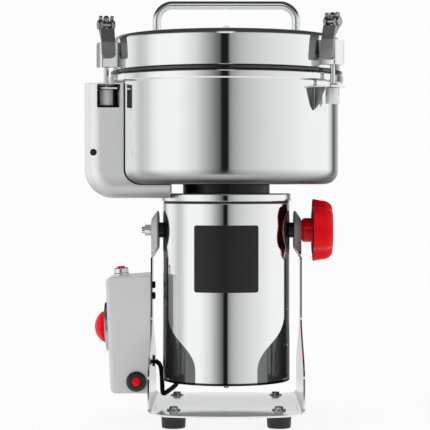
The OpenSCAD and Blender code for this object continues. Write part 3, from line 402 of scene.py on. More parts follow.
@dataclass(frozen=True)
class Steel:
    """Worked steel or another bare metal.

    Attributes:
        name: The finish's name.
        tint: Its brightest colour.
        roughness: Lowest and highest roughness.
        grain: Which way it was worked.
        lines: Grain lines to a metre.
        relief: Height of the grain in metres.
        cloud: How much darker its clouded patches are, from 0 to 1.
        metal: How much of it shines as bare metal, the rest being scattered light.
        inner: Brightness of the faces that look at the mill's axis: painted shade on faces turned in between
            the parts.
        inner_metal: How much less of those shaded faces shines, where the shine isn't even.
        painted_shade: Where shade is painted on it, darker towards its bottom.
        satin: Where it is brushed dull.
        level: How much of it shines as bare metal where it faces up.
        level_dull: How much rougher it is there.
        patches: Clouded patches to a metre.
        upright: Lines along an upright grain, as a share of those across it.
        strength: Strength of the relief.
    """

    name: str
    tint: Colour
    roughness: tuple[float, float]
    grain: Grain = Grain.ROUND
    lines: float = 900.0
    relief: float = 0.000004
    cloud: float = 0.03
    metal: float = 1.0
    inner: float = 1.0
    inner_metal: float = 0.4
    painted_shade: PaintedShade | None = None
    satin: Satin | None = None
    level: float = 1.0
    level_dull: float = 0.25
    patches: float = 14.0
    upright: float = 0.03
    strength: float = 0.5

    def worked(self, made: Shader) -> bpy.types.NodeSocket:
        """Noise that follows the way the metal was worked."""
        if self.grain is Grain.ROUND:
            return made.noise(made.turned(self.lines))
        if self.grain is Grain.UPRIGHT:
            return made.noise(made.place((self.lines, self.lines, self.lines * self.upright)))
        return made.noise(made.place((self.lines,) * 3), 5.0)

    def material(self) -> bpy.types.Material:
        """Builds the material and returns it."""
        made = Shader(self.name)
        made.give(Metallic=self.metal)
        grain = self.worked(made)
        clouds = made.noise(made.place((self.patches,) * 3), 4.0)
        dark = tuple(c * (1 - self.cloud) for c in self.tint)
        tint = made.blend(clouds, dark, self.tint)
        # Painted shade: faces turned in towards the mill's axis are darkened.
        inward = made.facing_axis() if self.inner < 1 else None
        if inward:
            tint = made.dimmed(tint, inward, self.inner)
        roughness = made.spread(grain, *self.roughness)
        # Painted shade: darker and rougher towards the bottom.
        if self.painted_shade:
            under = made.below(self.painted_shade.low, self.painted_shade.high)
            tint = made.dimmed(tint, under, self.painted_shade.level)
            roughness = made.raised(roughness, under, self.painted_shade.dull)
        shine = None
        if self.satin:
            above = made.below(self.satin.height, self.satin.height - self.satin.fade)
            roughness = made.raised(roughness, above, self.satin.dull)
            tint = made.dimmed(tint, above, self.satin.level)
            shine = made.spread(above, self.metal, self.satin.metal)
        if self.level < 1:
            upward = made.facing_up()
            roughness = made.raised(roughness, upward, self.level_dull)
            shine = (made.raised(shine, upward, self.level - self.metal) if shine
                     else made.spread(upward, self.metal, self.level))
        if shine and inward:
            shine = made.raised(shine, inward, -self.inner_metal)
        if shine:
            made.give(Metallic=shine)
        made.give(Base_Color=tint, Roughness=roughness)
        made.bump(grain, self.strength, self.relief)
        return made.material


@dataclass(frozen=True)
class Moulded:
    """Moulded plastic or enamel.

    Attributes:
        name: The finish's name.
        colour: Its colour.
        shade: Its colour in the slightly darker patches.
        roughness: Lowest and highest roughness.
        pebble: Size of its texture, in lumps to a metre.
        relief: Height of the texture in metres.
        coat: Strength of a clear gloss over it.
        shine: Strength of its own gloss.
        coat_roughness: Roughness of the clear gloss.
        patches: Darker patches to a metre.
        strength: Strength of the relief.
    """

    name: str
    colour: Colour
    shade: Colour
    roughness: tuple[float, float]
    pebble: float = 1500.0
    relief: float = 0.00001
    coat: float = 0.0
    shine: float = 0.5
    coat_roughness: float = 0.08
    patches: float = 22.0
    strength: float = 0.6

    def material(self) -> bpy.types.Material:
        """Builds the material and returns it."""
        made = Shader(self.name)
        made.give(Coat_Weight=self.coat, Coat_Roughness=self.coat_roughness, Specular_IOR_Level=self.shine)
        pebbles = made.noise(made.place((self.pebble,) * 3), 2.0)
        clouds = made.noise(made.place((self.patches,) * 3), 4.0)
        made.give(Base_Color=made.blend(clouds, self.shade, self.colour),
                  Roughness=made.spread(pebbles, *self.roughness))
        made.bump(pebbles, self.strength, self.relief)
        return made.material


@dataclass(frozen=True)
class Wound:
    """Copper windings over laminated iron, told apart by height.

    Attributes:
        name: The finish's name.
        low: Height of the iron's lower face in metres.
        high: Height of its upper face in metres.
        copper: Colour of the windings.
        iron: Colour of the iron.
        metal: How much of it shines as bare metal.
        roughness: Its roughness.
        lines: Turns of wire to a metre.
        relief: Height of the wire's relief in metres.
        strength: Strength of the relief.
    """

    name: str
    low: float
    high: float
    copper: Colour = (0.62, 0.27, 0.11)
    iron: Colour = (0.2, 0.2, 0.21)
    metal: float = 0.9
    roughness: float = 0.42
    lines: float = 1400
    relief: float = 0.0002
    strength: float = 0.8

    def material(self) -> bpy.types.Material:
        """Builds the material and returns it."""
        made = Shader(self.name)
        made.give(Metallic=self.metal, Roughness=self.roughness)
        middle, half = (self.low + self.high) / 2, (self.high - self.low) / 2
        inside = made.calc("COMPARE", made.split(made.place())["Z"], middle, half)
        made.give(Base_Color=made.blend(inside, self.copper, self.iron, 0.4, 0.6))
        made.bump(made.noise(made.turned(self.lines), 1.0), self.strength, self.relief)
        return made.material


FINISHES: dict[str, Steel | Moulded | Wound] = {look.name: look for look in (
    Steel("steel_polished", (0.86, 0.865, 0.87), (0.05, 0.1), Grain.EVEN, 700, 0.0000016, 0.04),
    Steel("steel_mirror", (0.9, 0.905, 0.91), (0.02, 0.04), Grain.ROUND, 500, 0.0000003, 0.02),
    # The bowl's steel: painted shade along its bottom corner.
    Steel("steel_bowl", (0.89, 0.895, 0.9), (0.03, 0.06), Grain.ROUND, 700, 0.0000005, 0.03,
          painted_shade=PaintedShade(0.285, 0.299, 0.12, 0.4)),
    # The stand's copy of the polished steel: painted shade on the faces that look in at the motor.
    Steel("steel_stand", (0.86, 0.865, 0.87), (0.05, 0.1), Grain.EVEN, 700, 0.0000016, 0.04, inner=0.25,
          satin=Satin(0.205), level=0.6, level_dull=0.04),
    # The can's copy of the mirror steel: painted shade along its lowest edge.
    Steel("steel_can", (0.9, 0.905, 0.91), (0.02, 0.04), Grain.ROUND, 500, 0.0000003, 0.02,
          painted_shade=PaintedShade(0.0507, 0.0512, 0.05)),
    # The lid's copy of the mirror steel: painted shade along its lower bead, where it sits on the bowl.
    Steel("steel_lid", (0.9, 0.905, 0.91), (0.02, 0.04), Grain.ROUND, 500, 0.0000003, 0.02,
          painted_shade=PaintedShade(0.4158, 0.4165, 0.1), level=0.3),
    # A dark copy of the polished steel: painted shade on the gussets under the shelves.
    Steel("steel_shade", (0.2, 0.2, 0.205), (0.2, 0.3), Grain.UPRIGHT, 900, 0.000003, 0.1),
    # A darkened copy of the plated steel: painted shade on the cross pins and the domed nuts.
    Steel("zinc_dull", (0.4, 0.4, 0.405), (0.14, 0.24), Grain.EVEN, 500, 0.000004, 0.08),
    # Dark red: painted shade on the back of the tilt knob's head.
    Moulded("plastic_dim", (0.03, 0.008, 0.009), (0.025, 0.007, 0.008), (0.7, 0.8), 1200, 0.00001, 0.0, 0.05),
    # Lightened near white and mostly matt: painted light on the nuts, the left clamp's nut sitting in shade
    # in the cover.
    Steel("zinc_matt", (0.95, 0.95, 0.95), (0.3, 0.45), Grain.UPRIGHT, 900, 0.000004, 0.06, 0.15),
    # The cover's steel: painted shade towards its bottom.
    Steel("steel_satin", (0.95, 0.952, 0.955), (0.3, 0.38), Grain.UPRIGHT, 1600, 0.0000005, 0.02, 0.5,
          painted_shade=PaintedShade(0.263, 0.292, 0.4)),
    Steel("steel_chamber", (0.7, 0.7, 0.7), (0.24, 0.4), Grain.ROUND, 900, 0.000006, 0.06),
    Steel("steel_blade", (0.66, 0.67, 0.68), (0.2, 0.34), Grain.EVEN, 600, 0.00001, 0.1),
    Steel("steel_plated", (0.78, 0.78, 0.78), (0.14, 0.24), Grain.EVEN, 500, 0.000004, 0.08),
    Steel("steel_bearing", (0.7, 0.71, 0.72), (0.1, 0.2), Grain.ROUND, 900, 0.000002, 0.04),
    Steel("screw_black", (0.03, 0.03, 0.032), (0.3, 0.4), Grain.EVEN, 700, 0.000005, 0.1),
    Steel("screw_steel", (0.62, 0.62, 0.63), (0.2, 0.32), Grain.EVEN, 700, 0.000005, 0.1),
    Steel("lever_zinc", (0.4, 0.4, 0.405), (0.34, 0.46), Grain.UPRIGHT, 700, 0.00001, 0.12),
    Steel("chrome", (0.84, 0.845, 0.85), (0.04, 0.08), Grain.EVEN, 400, 0.0000005, 0.02),
    Moulded("box_grey", (0.7, 0.7, 0.7), (0.67, 0.67, 0.672), (0.3, 0.42), 900, 0.000012, 0.1),
    Moulded("cast_black", (0.012, 0.012, 0.013), (0.008, 0.008, 0.009), (0.35, 0.5), 700, 0.00003),
    Wound("copper_iron", 0.1086, 0.1984),
    Moulded("plastic_red", (0.93, 0.001, 0.009), (0.86, 0.001, 0.007), (0.2, 0.28), 1200, 0.000003, 0.0,
            0.16),
    Moulded("plastic_black", (0.014, 0.014, 0.015), (0.009, 0.009, 0.01), (0.3, 0.42), 1200, 0.00001),
    Steel("plastic_grey", (0.5, 0.5, 0.505), (0.26, 0.36), Grain.EVEN, 900, 0.000004, 0.06),
    Moulded("rubber_black", (0.013, 0.013, 0.013), (0.02, 0.02, 0.02), (0.45, 0.65), 1600, 0.00004),
    Moulded("silicone", (0.72, 0.72, 0.7), (0.68, 0.68, 0.66), (0.4, 0.5), 900, 0.00001),
    Moulded("label_film", (0.017, 0.017, 0.018), (0.014, 0.014, 0.015), (0.3, 0.4), 1800, 0.000002, 0.0, 0.3),
)}


class Dresser:
    """Hands out each finish's material, made once."""

    def __init__(self) -> None:
        """Starts with no material made."""
        self.made: dict[str, bpy.types.Material] = {}

    def of(self, slot: str) -> bpy.types.Material:
        """Gives a finish's material.

        Args:
            slot: The finish's name, which is also the record's material slot.

        Returns:
            The material.
        """
        if slot not in self.made:
            self.made[slot] = FINISHES[slot].material()
        return self.made[slot]

    def dress(self, obj: bpy.types.Object, slot: str) -> None:
        """Gives an object one finish.

        Args:
            obj: The object.
            slot: The finish's name.
        """
        obj.data.materials.clear()
        obj.data.materials.append(self.of(slot))


# Mesh making


def circle(radius: float, steps: int, x: float = 0.0, y: float = 0.0) -> Outline:
    """Points of a circle.

    Args:
        radius: Its radius.
        steps: Number of points.
        x: Its middle.
        y: Its middle.

    Returns:
        The points, anticlockwise.
    """
    return [(x + radius * math.cos(2 * math.pi * k / steps), y + radius * math.sin(2 * math.pi * k / steps))
            for k in range(steps)]


def rectangle(left: float, right: float, low: float, high: float) -> Outline:
    """The corners of a rectangle, anticlockwise."""
    return [(left, low), (right, low), (right, high), (left, high)]


def filleted(points: Corners, closed: bool = False, steps: int = 8) -> Outline:
    """Rounds the corners of a line of points.

    Args:
        points: Places and the radius of the corner at each.
        closed: Whether the line closes on itself.
        steps: Number of steps in a corner.

    Returns:
        The rounded line.
    """
    out: Outline = []
    count = len(points)
    for i, (x, y, radius) in enumerate(points):
        if radius <= 0 or (not closed and i in (0, count - 1)):
            out.append((x, y))
            continue
        here = Vector((x, y))
        back = Vector(points[i - 1][:2]) - here
        ahead = Vector(points[(i + 1) % count][:2]) - here
        half = back.angle(ahead) / 2
        reach = min(radius / math.tan(half), back.length * 0.499, ahead.length * 0.499)
        radius = reach * math.tan(half)
        back.normalize()
        ahead.normalize()
        middle = here + (back + ahead).normalized() * (radius / math.sin(half))
        start, end = here + back * reach - middle, here + ahead * reach - middle
        first = math.atan2(start.y, start.x)
        sweep = (math.atan2(end.y, end.x) - first + math.pi) % (2 * math.pi) - math.pi
        for k in range(steps + 1):
            angle = first + sweep * k / steps
            out.append((middle.x + radius * math.cos(angle), middle.y + radius * math.sin(angle)))
    return out


def supported(points: Outline, near: float = 0.35, closed: bool = False) -> Outline:
    """Adds points close to the ends of long stretches, so that smooth shading stays flat between them.

    Args:
        points: The line.
        near: Distance of the added points from the ends.
        closed: Whether the line closes on itself.

    Returns:
        The line with the added points.
    """
    out: Outline = []
    last = len(points) if closed else len(points) - 1
    for i in range(last):
        a, b = Vector(points[i]), Vector(points[(i + 1) % len(points)])
        out.append(tuple(a))
        if (b - a).length > 8 * near:
            step = (b - a).normalized() * near
            out += [tuple(a + step), tuple(b - step)]
    if not closed:
        out.append(points[-1])
    return out


class Piece:
    """A piece of the mill: a mesh in millimetres about the mill's axis, until it is settled."""

    def __init__(self, name: str, dresser: Dresser) -> None:
        """Starts an empty piece.

        Args:
            name: The piece's name.
            dresser: What hands out the finishes.
        """
        self.name = name
        self.dresser = dresser
        self.shape = bmesh.new()
        self.obj: bpy.types.Object | None = None

    def bands(self, rings: Sequence[Sequence[Vector]], closed: bool = False, capped: bool = True) -> "Piece":
        """Skins a row of rings that have the same number of points, or one point at a pole.

        Args:
            rings: The rings, in order.
            closed: Whether the last ring joins the first.
            capped: Whether the end rings are filled.

        Returns:
            The piece.
        """
        made = [[self.shape.verts.new(p) for p in ring] for ring in rings]
        pairs = list(zip(made, made[1:])) + ([(made[-1], made[0])] if closed else [])
        for a, b in pairs:
            count = max(len(a), len(b))
            for k in range(count):
                m = (k + 1) % count
                corners = [a[k % len(a)], a[m % len(a)], b[m % len(b)], b[k % len(b)]]
                face = [c for i, c in enumerate(corners) if c not in corners[:i]]
                if len(face) > 2:
                    self.shape.faces.new(face)
        if capped and not closed:
            for ring in (made[0], made[-1]):
                if len(ring) > 2:
                    self.shape.faces.new(ring)
        return self

    def lathe(self, outline: Outline, frame: Matrix | None = None, steps: int = 160,
              closed: bool = False) -> "Piece":
        """Turns a half outline about the Z axis of a frame.

        Args:
            outline: Radius and height of each point.
            frame: Where to put it.
            steps: Number of points round the axis.
            closed: Whether the outline closes on itself.

        Returns:
            The piece.
        """
        frame = frame or Matrix()
        rings = []
        for radius, height in supported(outline, closed=closed):
            around = [(0.0, 0.0)] if radius < 1e-4 else circle(radius, steps)
            rings.append([frame @ Vector((x, y, height)) for x, y in around])
        return self.bands(rings, closed)

    def cylinder(self, radius: float, low: float, high: float, frame: Matrix | None = None,
                 steps: int = 160) -> "Piece":
        """Adds a plain cylinder about the Z axis of a frame.

        Args:
            radius: Its radius.
            low: Where it starts.
            high: Where it ends.
            frame: Where to put it.
            steps: Number of points round the axis.

        Returns:
            The piece.
        """
        return self.lathe([(0, low), (radius, low), (radius, high), (0, high)], frame, steps)

    def hoop(self, points: Corners, frame: Matrix | None = None, steps: int = 160,
             corner: int = 8) -> "Piece":
        """Turns a closed half outline with rounded corners about the Z axis of a frame.

        Args:
            points: Radius, height and corner radius of each point.
            frame: Where to put it.
            steps: Number of points round the axis.
            corner: Number of steps in a corner.

        Returns:
            The piece.
        """
        return self.lathe(filleted(points, closed=True, steps=corner), frame, steps, closed=True)

    def spindle(self, points: Corners, frame: Matrix | None = None, steps: int = 160,
                corner: int = 8) -> "Piece":
        """Turns a half outline with rounded corners that starts and ends on the Z axis of a frame.

        Args:
            points: Radius, height and corner radius of each point.
            frame: Where to put it.
            steps: Number of points round the axis.
            corner: Number of steps in a corner.

        Returns:
            The piece.
        """
        line = filleted([(max(x, NEAR_AXIS), z, radius) for x, z, radius in points], steps=corner)
        return self.lathe([(0, line[0][1]), *line[1:-1], (0, line[-1][1])], frame, steps)

    def prism(self, outline: Outline, low: float, high: float, frame: Matrix | None = None,
              edge: float = 0.0) -> "Piece":
        """Draws an outline out along Z.

        Args:
            outline: The outline.
            low: Where it starts.
            high: Where it ends.
            frame: Where to put it.
            edge: Radius of its rounded edges.

        Returns:
            The piece.
        """
        frame = frame or Matrix()
        part = bmesh.new()
        rings = [[part.verts.new((x, y, z)) for x, y in outline] for z in (low, high)]
        for k in range(len(outline)):
            m = (k + 1) % len(outline)
            part.faces.new((rings[0][k], rings[0][m], rings[1][m], rings[1][k]))
        for ring in rings:
            part.faces.new(ring)
        bmesh.ops.recalc_face_normals(part, faces=part.faces)
        if edge > 0:
            part.edges.ensure_lookup_table()
            sharp = [e for e in part.edges if e.calc_face_angle(0) > math.radians(30)]
            bmesh.ops.bevel(part, geom=sharp, offset=edge, segments=3, profile=0.5, affect="EDGES",
                            clamp_overlap=True)
        self._take(part, frame)
        return self

    def _take(self, part: bmesh.types.BMesh, frame: Matrix) -> None:
        """Adds another shape to this one.

        Args:
            part: The shape, which is used up.
            frame: Where to put it.
        """
        part.transform(frame)
        mesh = bpy.data.meshes.new("part")
        part.to_mesh(mesh)
        part.free()
        self.shape.from_mesh(mesh)
        bpy.data.meshes.remove(mesh)

    def build(self) -> bpy.types.Object:
        """Makes the shape an object, closed and with its faces outwards.

        Returns:
            The object.
        """
        if self.obj is None:
            bmesh.ops.remove_doubles(self.shape, verts=self.shape.verts, dist=SAME_POINT)
            bmesh.ops.recalc_face_normals(self.shape, faces=self.shape.faces)
            mesh = bpy.data.meshes.new(self.name)
            self.shape.to_mesh(mesh)
            self.shape.free()
            self.obj = bpy.data.objects.new(self.name, mesh)
            bpy.context.scene.collection.objects.link(self.obj)
        return self.obj

    def change(self, kind: str, **settings: object) -> "Piece":
        """Applies one modifier.

        Args:
            kind: The modifier's type.
            **settings: Its settings.

        Returns:
            The piece.
        """
        obj = self.build()
        modifier = obj.modifiers.new(kind.lower(), kind)
        for key, value in settings.items():
            setattr(modifier, key, value)
        self._bake()
        return self

    def _bake(self) -> None:
        """Replaces the mesh by what its modifiers make of it."""
        obj = self.build()
        ready = obj.evaluated_get(bpy.context.evaluated_depsgraph_get())
        mesh = bpy.data.meshes.new_from_object(ready)
        mesh.name = self.name
        obj.modifiers.clear()
        obj.data = mesh

    def cut(self, *tools: "Piece") -> "Piece":
        """Takes other pieces' shapes out of this one.

        Args:
            *tools: The pieces to take out, which are used up.

        Returns:
            The piece.
        """
        return self.combine("DIFFERENCE", *tools)

    def combine(self, operation: str, *tools: "Piece") -> "Piece":
        """Combines the piece's solid with those of other pieces, one after the other.

        Args:
            operation: DIFFERENCE, INTERSECT or UNION.
            *tools: The other pieces, which are used up.

        Returns:
            The piece.
        """
        for tool in tools:
            self.change("BOOLEAN", operation=operation, solver="EXACT", object=tool.build())
            bpy.data.objects.remove(tool.obj)
        return self

    def soften(self, width: float, segments: int = 2, past: float = 50.0) -> "Piece":
        """Rounds the sharp edges.

        Args:
            width: Width of the rounding.
            segments: Number of its steps.
            past: Angle in degrees past which an edge counts as sharp.

        Returns:
            The piece.
        """
        return self.change("BEVEL", width=width, segments=segments, limit_method="ANGLE",
                           angle_limit=math.radians(past))

    def join(self, *others: "Piece") -> "Piece":
        """Adds other pieces' meshes to this one.

        Args:
            *others: The pieces, which are used up.

        Returns:
            The piece.
        """
        work = bmesh.new()
        work.from_mesh(self.build().data)
        for other in others:
            work.from_mesh(other.build().data)
            bpy.data.objects.remove(other.obj)
        work.to_mesh(self.obj.data)
        work.free()
        return self

    def repeat(self, tree: bpy.types.NodeTree, **values: float | int) -> "Piece":
        """Repeats the piece's shape with a geometry tree.

        Args:
            tree: The tree.
            **values: The tree's inputs by name, with underscores for spaces.

        Returns:
            The piece.
        """
        obj = self.build()
        modifier = obj.modifiers.new("repeat", "NODES")
        modifier.node_group = tree
        for item in tree.interface.items_tree:
            key = item.name.replace(" ", "_")
            if item.in_out == "INPUT" and key in values:
                modifier[item.identifier] = values[key]
        self._bake()
        return self

    def move(self, frame: Matrix) -> "Piece":
        """Moves the built mesh.

        Args:
            frame: Where to put it.

        Returns:
            The piece.
        """
        self.build().data.transform(frame)
        return self

    def settle(self, body: str, slot: str, *nodes: str, look: str = "", crease: float = 32.0,
               even: bool = False,
               rides: bool = True) -> bpy.types.Object:
        """Finishes the piece: shades it, moves it into the frame, dresses it and hands it to its body.

        Args:
            body: The body that it moves with.
            slot: Its finish.
            *nodes: The frame's nodes that it stands for.
            look: Its finish where that is a variant of the slot's.
            crease: Angle in degrees past which an edge stays sharp.
            even: Whether its normals follow its larger faces.
            rides: Whether it rides on one body.

        Returns:
            The finished object.
        """
        obj = self.build()
        mesh = obj.data
        work = bmesh.new()
        work.from_mesh(mesh)
        bmesh.ops.remove_doubles(work, verts=work.verts, dist=SAME_POINT)
        bmesh.ops.recalc_face_normals(work, faces=work.faces)
        work.to_mesh(mesh)
        work.free()
        mesh.shade_smooth()
        mesh.set_sharp_from_angle(angle=math.radians(crease))
        if even:
            self.change("WEIGHTED_NORMAL", keep_sharp=True, weight=70)
        mesh = obj.data
        mesh.transform(TO_FRAME)
        self.dresser.dress(obj, look or slot)
        if rides:
            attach(obj, body)
        if nodes:
            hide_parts(*nodes)
        LOG.info("%s: %d faces on %s", self.name, len(mesh.polygons), body)
        return obj


# Geometry trees


class Trees:
    """Geometry Nodes trees that repeat a shape or draw a bar along a line."""

    def __init__(self) -> None:
        """Builds the trees."""
        self.ring = self._ring()
        self.grid = self._grid()
        self.bar = self._bar()

    @staticmethod
    def _start(name: str, **sockets: str) -> tuple[Graph, bpy.types.NodeOutputs]:
        """Starts a tree with a shape and a material among its inputs.

        Args:
            name: The tree's name.
            **sockets: Names of its further inputs, and their types.

        Returns:
            The tree and what it is given.
        """
        tree = bpy.data.node_groups.new(name, "GeometryNodeTree")
        for key, kind in {"Shape": "NodeSocketGeometry", **sockets, "Material": "NodeSocketMaterial"}.items():
            tree.interface.new_socket(key, in_out="INPUT", socket_type=kind)
        tree.interface.new_socket("Shape", in_out="OUTPUT", socket_type="NodeSocketGeometry")
        graph = Graph(tree)
        return graph, graph.add("NodeGroupInput").outputs

    @staticmethod
    def _end(graph: Graph, given: bpy.types.NodeOutputs, shape: bpy.types.NodeSocket) -> bpy.types.NodeTree:
        """Closes a tree with its realized instances and their material.

        Args:
            graph: The tree.
            given: What it is given.
            shape: The shape that it made.

        Returns:
            The tree.
        """
        real = graph.add("GeometryNodeRealizeInstances", {"Geometry": shape})
        dressed = graph.add("GeometryNodeSetMaterial", {"Geometry": real.outputs["Geometry"],
                                                        "Material": given["Material"]})
        graph.add("NodeGroupOutput", {"Shape": dressed.outputs["Geometry"]})
        return graph.tree

    def _ring(self) -> bpy.types.NodeTree:
        """Copies of a shape turned about the Z axis."""
        graph, given = self._start("turned_copies", Count="NodeSocketInt", Step="NodeSocketFloat")
        line = graph.add("GeometryNodeMeshLine", {"Offset": (0, 0, 0), "Count": given["Count"]})
        turn = graph.calc("MULTIPLY", graph.add("GeometryNodeInputIndex").outputs[0], given["Step"])
        angle = graph.add("ShaderNodeCombineXYZ", {"Z": turn})
        copies = graph.add("GeometryNodeInstanceOnPoints", {"Points": line.outputs["Mesh"],
                                                            "Instance": given["Shape"],
                                                            "Rotation": angle.outputs[0]})
        return self._end(graph, given, copies.outputs["Instances"])

    def _grid(self) -> bpy.types.NodeTree:
        """Copies of a shape at the four corners of a rectangle."""
        graph, given = self._start("corner_copies", Width="NodeSocketFloat", Depth="NodeSocketFloat")
        grid = graph.add("GeometryNodeMeshGrid", {"Vertices X": 2, "Vertices Y": 2,
                                                  "Size X": given["Width"], "Size Y": given["Depth"]})
        copies = graph.add("GeometryNodeInstanceOnPoints", {"Points": grid.outputs["Mesh"],
                                                            "Instance": given["Shape"]})
        return self._end(graph, given, copies.outputs["Instances"])

    def _bar(self) -> bpy.types.NodeTree:
        """A round bar along a line of edges."""
        graph, given = self._start("round_bar", Radius="NodeSocketFloat", Sides="NodeSocketInt")
        path = graph.add("GeometryNodeMeshToCurve", {"Mesh": given["Shape"]})
        form = graph.add("GeometryNodeCurvePrimitiveCircle", {"Radius": given["Radius"],
                                                              "Resolution": given["Sides"]})
        skin = graph.add("GeometryNodeCurveToMesh", {"Curve": path.outputs["Curve"],
                                                     "Profile Curve": form.outputs["Curve"],
                                                     "Fill Caps": True})
        return self._end(graph, given, skin.outputs["Mesh"])


@dataclass
class Workshop:
    """What every sub-assembly is built with.

    Attributes:
        dresser: Hands out the finishes.
        trees: Repeat shapes and draw bars.
    """

    dresser: Dresser = field(default_factory=Dresser)
    trees: Trees = field(default_factory=Trees)

    def piece(self, name: str) -> Piece:
        """Starts a piece of that name."""
        return Piece(name, self.dresser)

    def copies(self, piece: Piece, slot: str, count: int, step: float) -> Piece:
        """Repeats a piece about the Z axis.

        Args:
            piece: The piece.
            slot: Its finish.
            count: Number of copies.
            step: Angle between them in degrees.

        Returns:
            The piece.
        """
        return piece.repeat(self.trees.ring, Count=count, Step=math.radians(step),
                            Material=self.dresser.of(slot))

    def corners(self, piece: Piece, slot: str, width: float, depth: float) -> Piece:
        """Repeats a piece at the corners of a rectangle.

        Args:
            piece: The piece.
            slot: Its finish.
            width: The rectangle's width.
            depth: The rectangle's depth.

        Returns:
            The piece.
        """
        return piece.repeat(self.trees.grid, Width=width, Depth=depth, Material=self.dresser.of(slot))

    def bar(self, name: str, path: Sequence[Vector], radius: float, slot: str, sides: int = 32) -> Piece:
        """Draws a round bar along a path.

        Args:
            name: The bar's name.
            path: The points that it follows.
            radius: Its radius.
            slot: Its finish.
            sides: Number of points round it.

        Returns:
            The bar.
        """
        made = self.piece(name)
        points = [made.shape.verts.new(p) for p in path]
        for a, b in zip(points, points[1:]):
            made.shape.edges.new((a, b))
        return made.repeat(self.trees.bar, Radius=radius, Sides=sides, Material=self.dresser.of(slot))


def along(x: float, z: float, side: int, y: float = 0.0) -> Matrix:
    """A frame with its Z axis pointing outwards along X.

    Args:
        x: Its place, outwards from the middle.
        z: Its height.
        side: -1 for the left and 1 for the right.
        y: Its place from the front to the back.

    Returns:
        The frame.
    """
    return Matrix.Translation((side * x, y, z)) @ Matrix.Rotation(side * math.pi / 2, 4, "Y")


def domed(radius: float, low: float, rise: float, steps: int) -> Outline:
    """Half outline of a domed top, up to just before its highest point.

    Args:
        radius: Radius of the dome's foot.
        low: Height of the dome's foot.
        rise: Height of the dome.
        steps: Number of points.

    Returns:
        The outline.
    """
    angles = (math.pi / 2 * k / steps for k in range(steps))
    return [(radius * math.cos(a), low + rise * math.sin(a)) for a in angles]


def ring_of(frame: Matrix, z: float, steps: int, reach: Callable[[float], float]) -> list[Vector]:
    """A ring of points at one height of a frame.

    Args:
        frame: The frame.
        z: The height.
        steps: Number of points.
        reach: Gives the distance from the axis at an angle.

    Returns:
        The points.
    """
    ring = []
    for k in range(steps):
        angle = 2 * math.pi * k / steps
        far = reach(angle)
        ring.append(frame @ Vector((far * math.cos(angle), far * math.sin(angle), z)))
    return ring


def hex_nut(piece: Piece, across: float, height: float, bore: float, frame: Matrix) -> Piece:
    """Adds a hexagon nut with chamfered corners.

    Args:
        piece: The piece to add it to.
        across: Radius to its corners.
        height: Its thickness.
        bore: Radius of its hole.
        frame: Where it stands.

    Returns:
        The piece.
    """
    twelfth = math.pi / 6
    flat = across * math.cos(twelfth)
    chamfer = height * 0.16

    def wall(angle: float) -> float:
        """Distance of the hexagon's side from the axis."""
        return flat / math.cos((angle + twelfth) % (math.pi / 3) - twelfth)

    levels = ((bore, 0.0), (flat, 0.0), (across, chamfer), (across, height - chamfer), (flat, height),
              (bore, height))
    rings = [ring_of(frame, z, 48, lambda angle, r=radius: min(r, wall(angle))) for radius, z in levels]
    return piece.bands(rings, closed=True)


# The stand


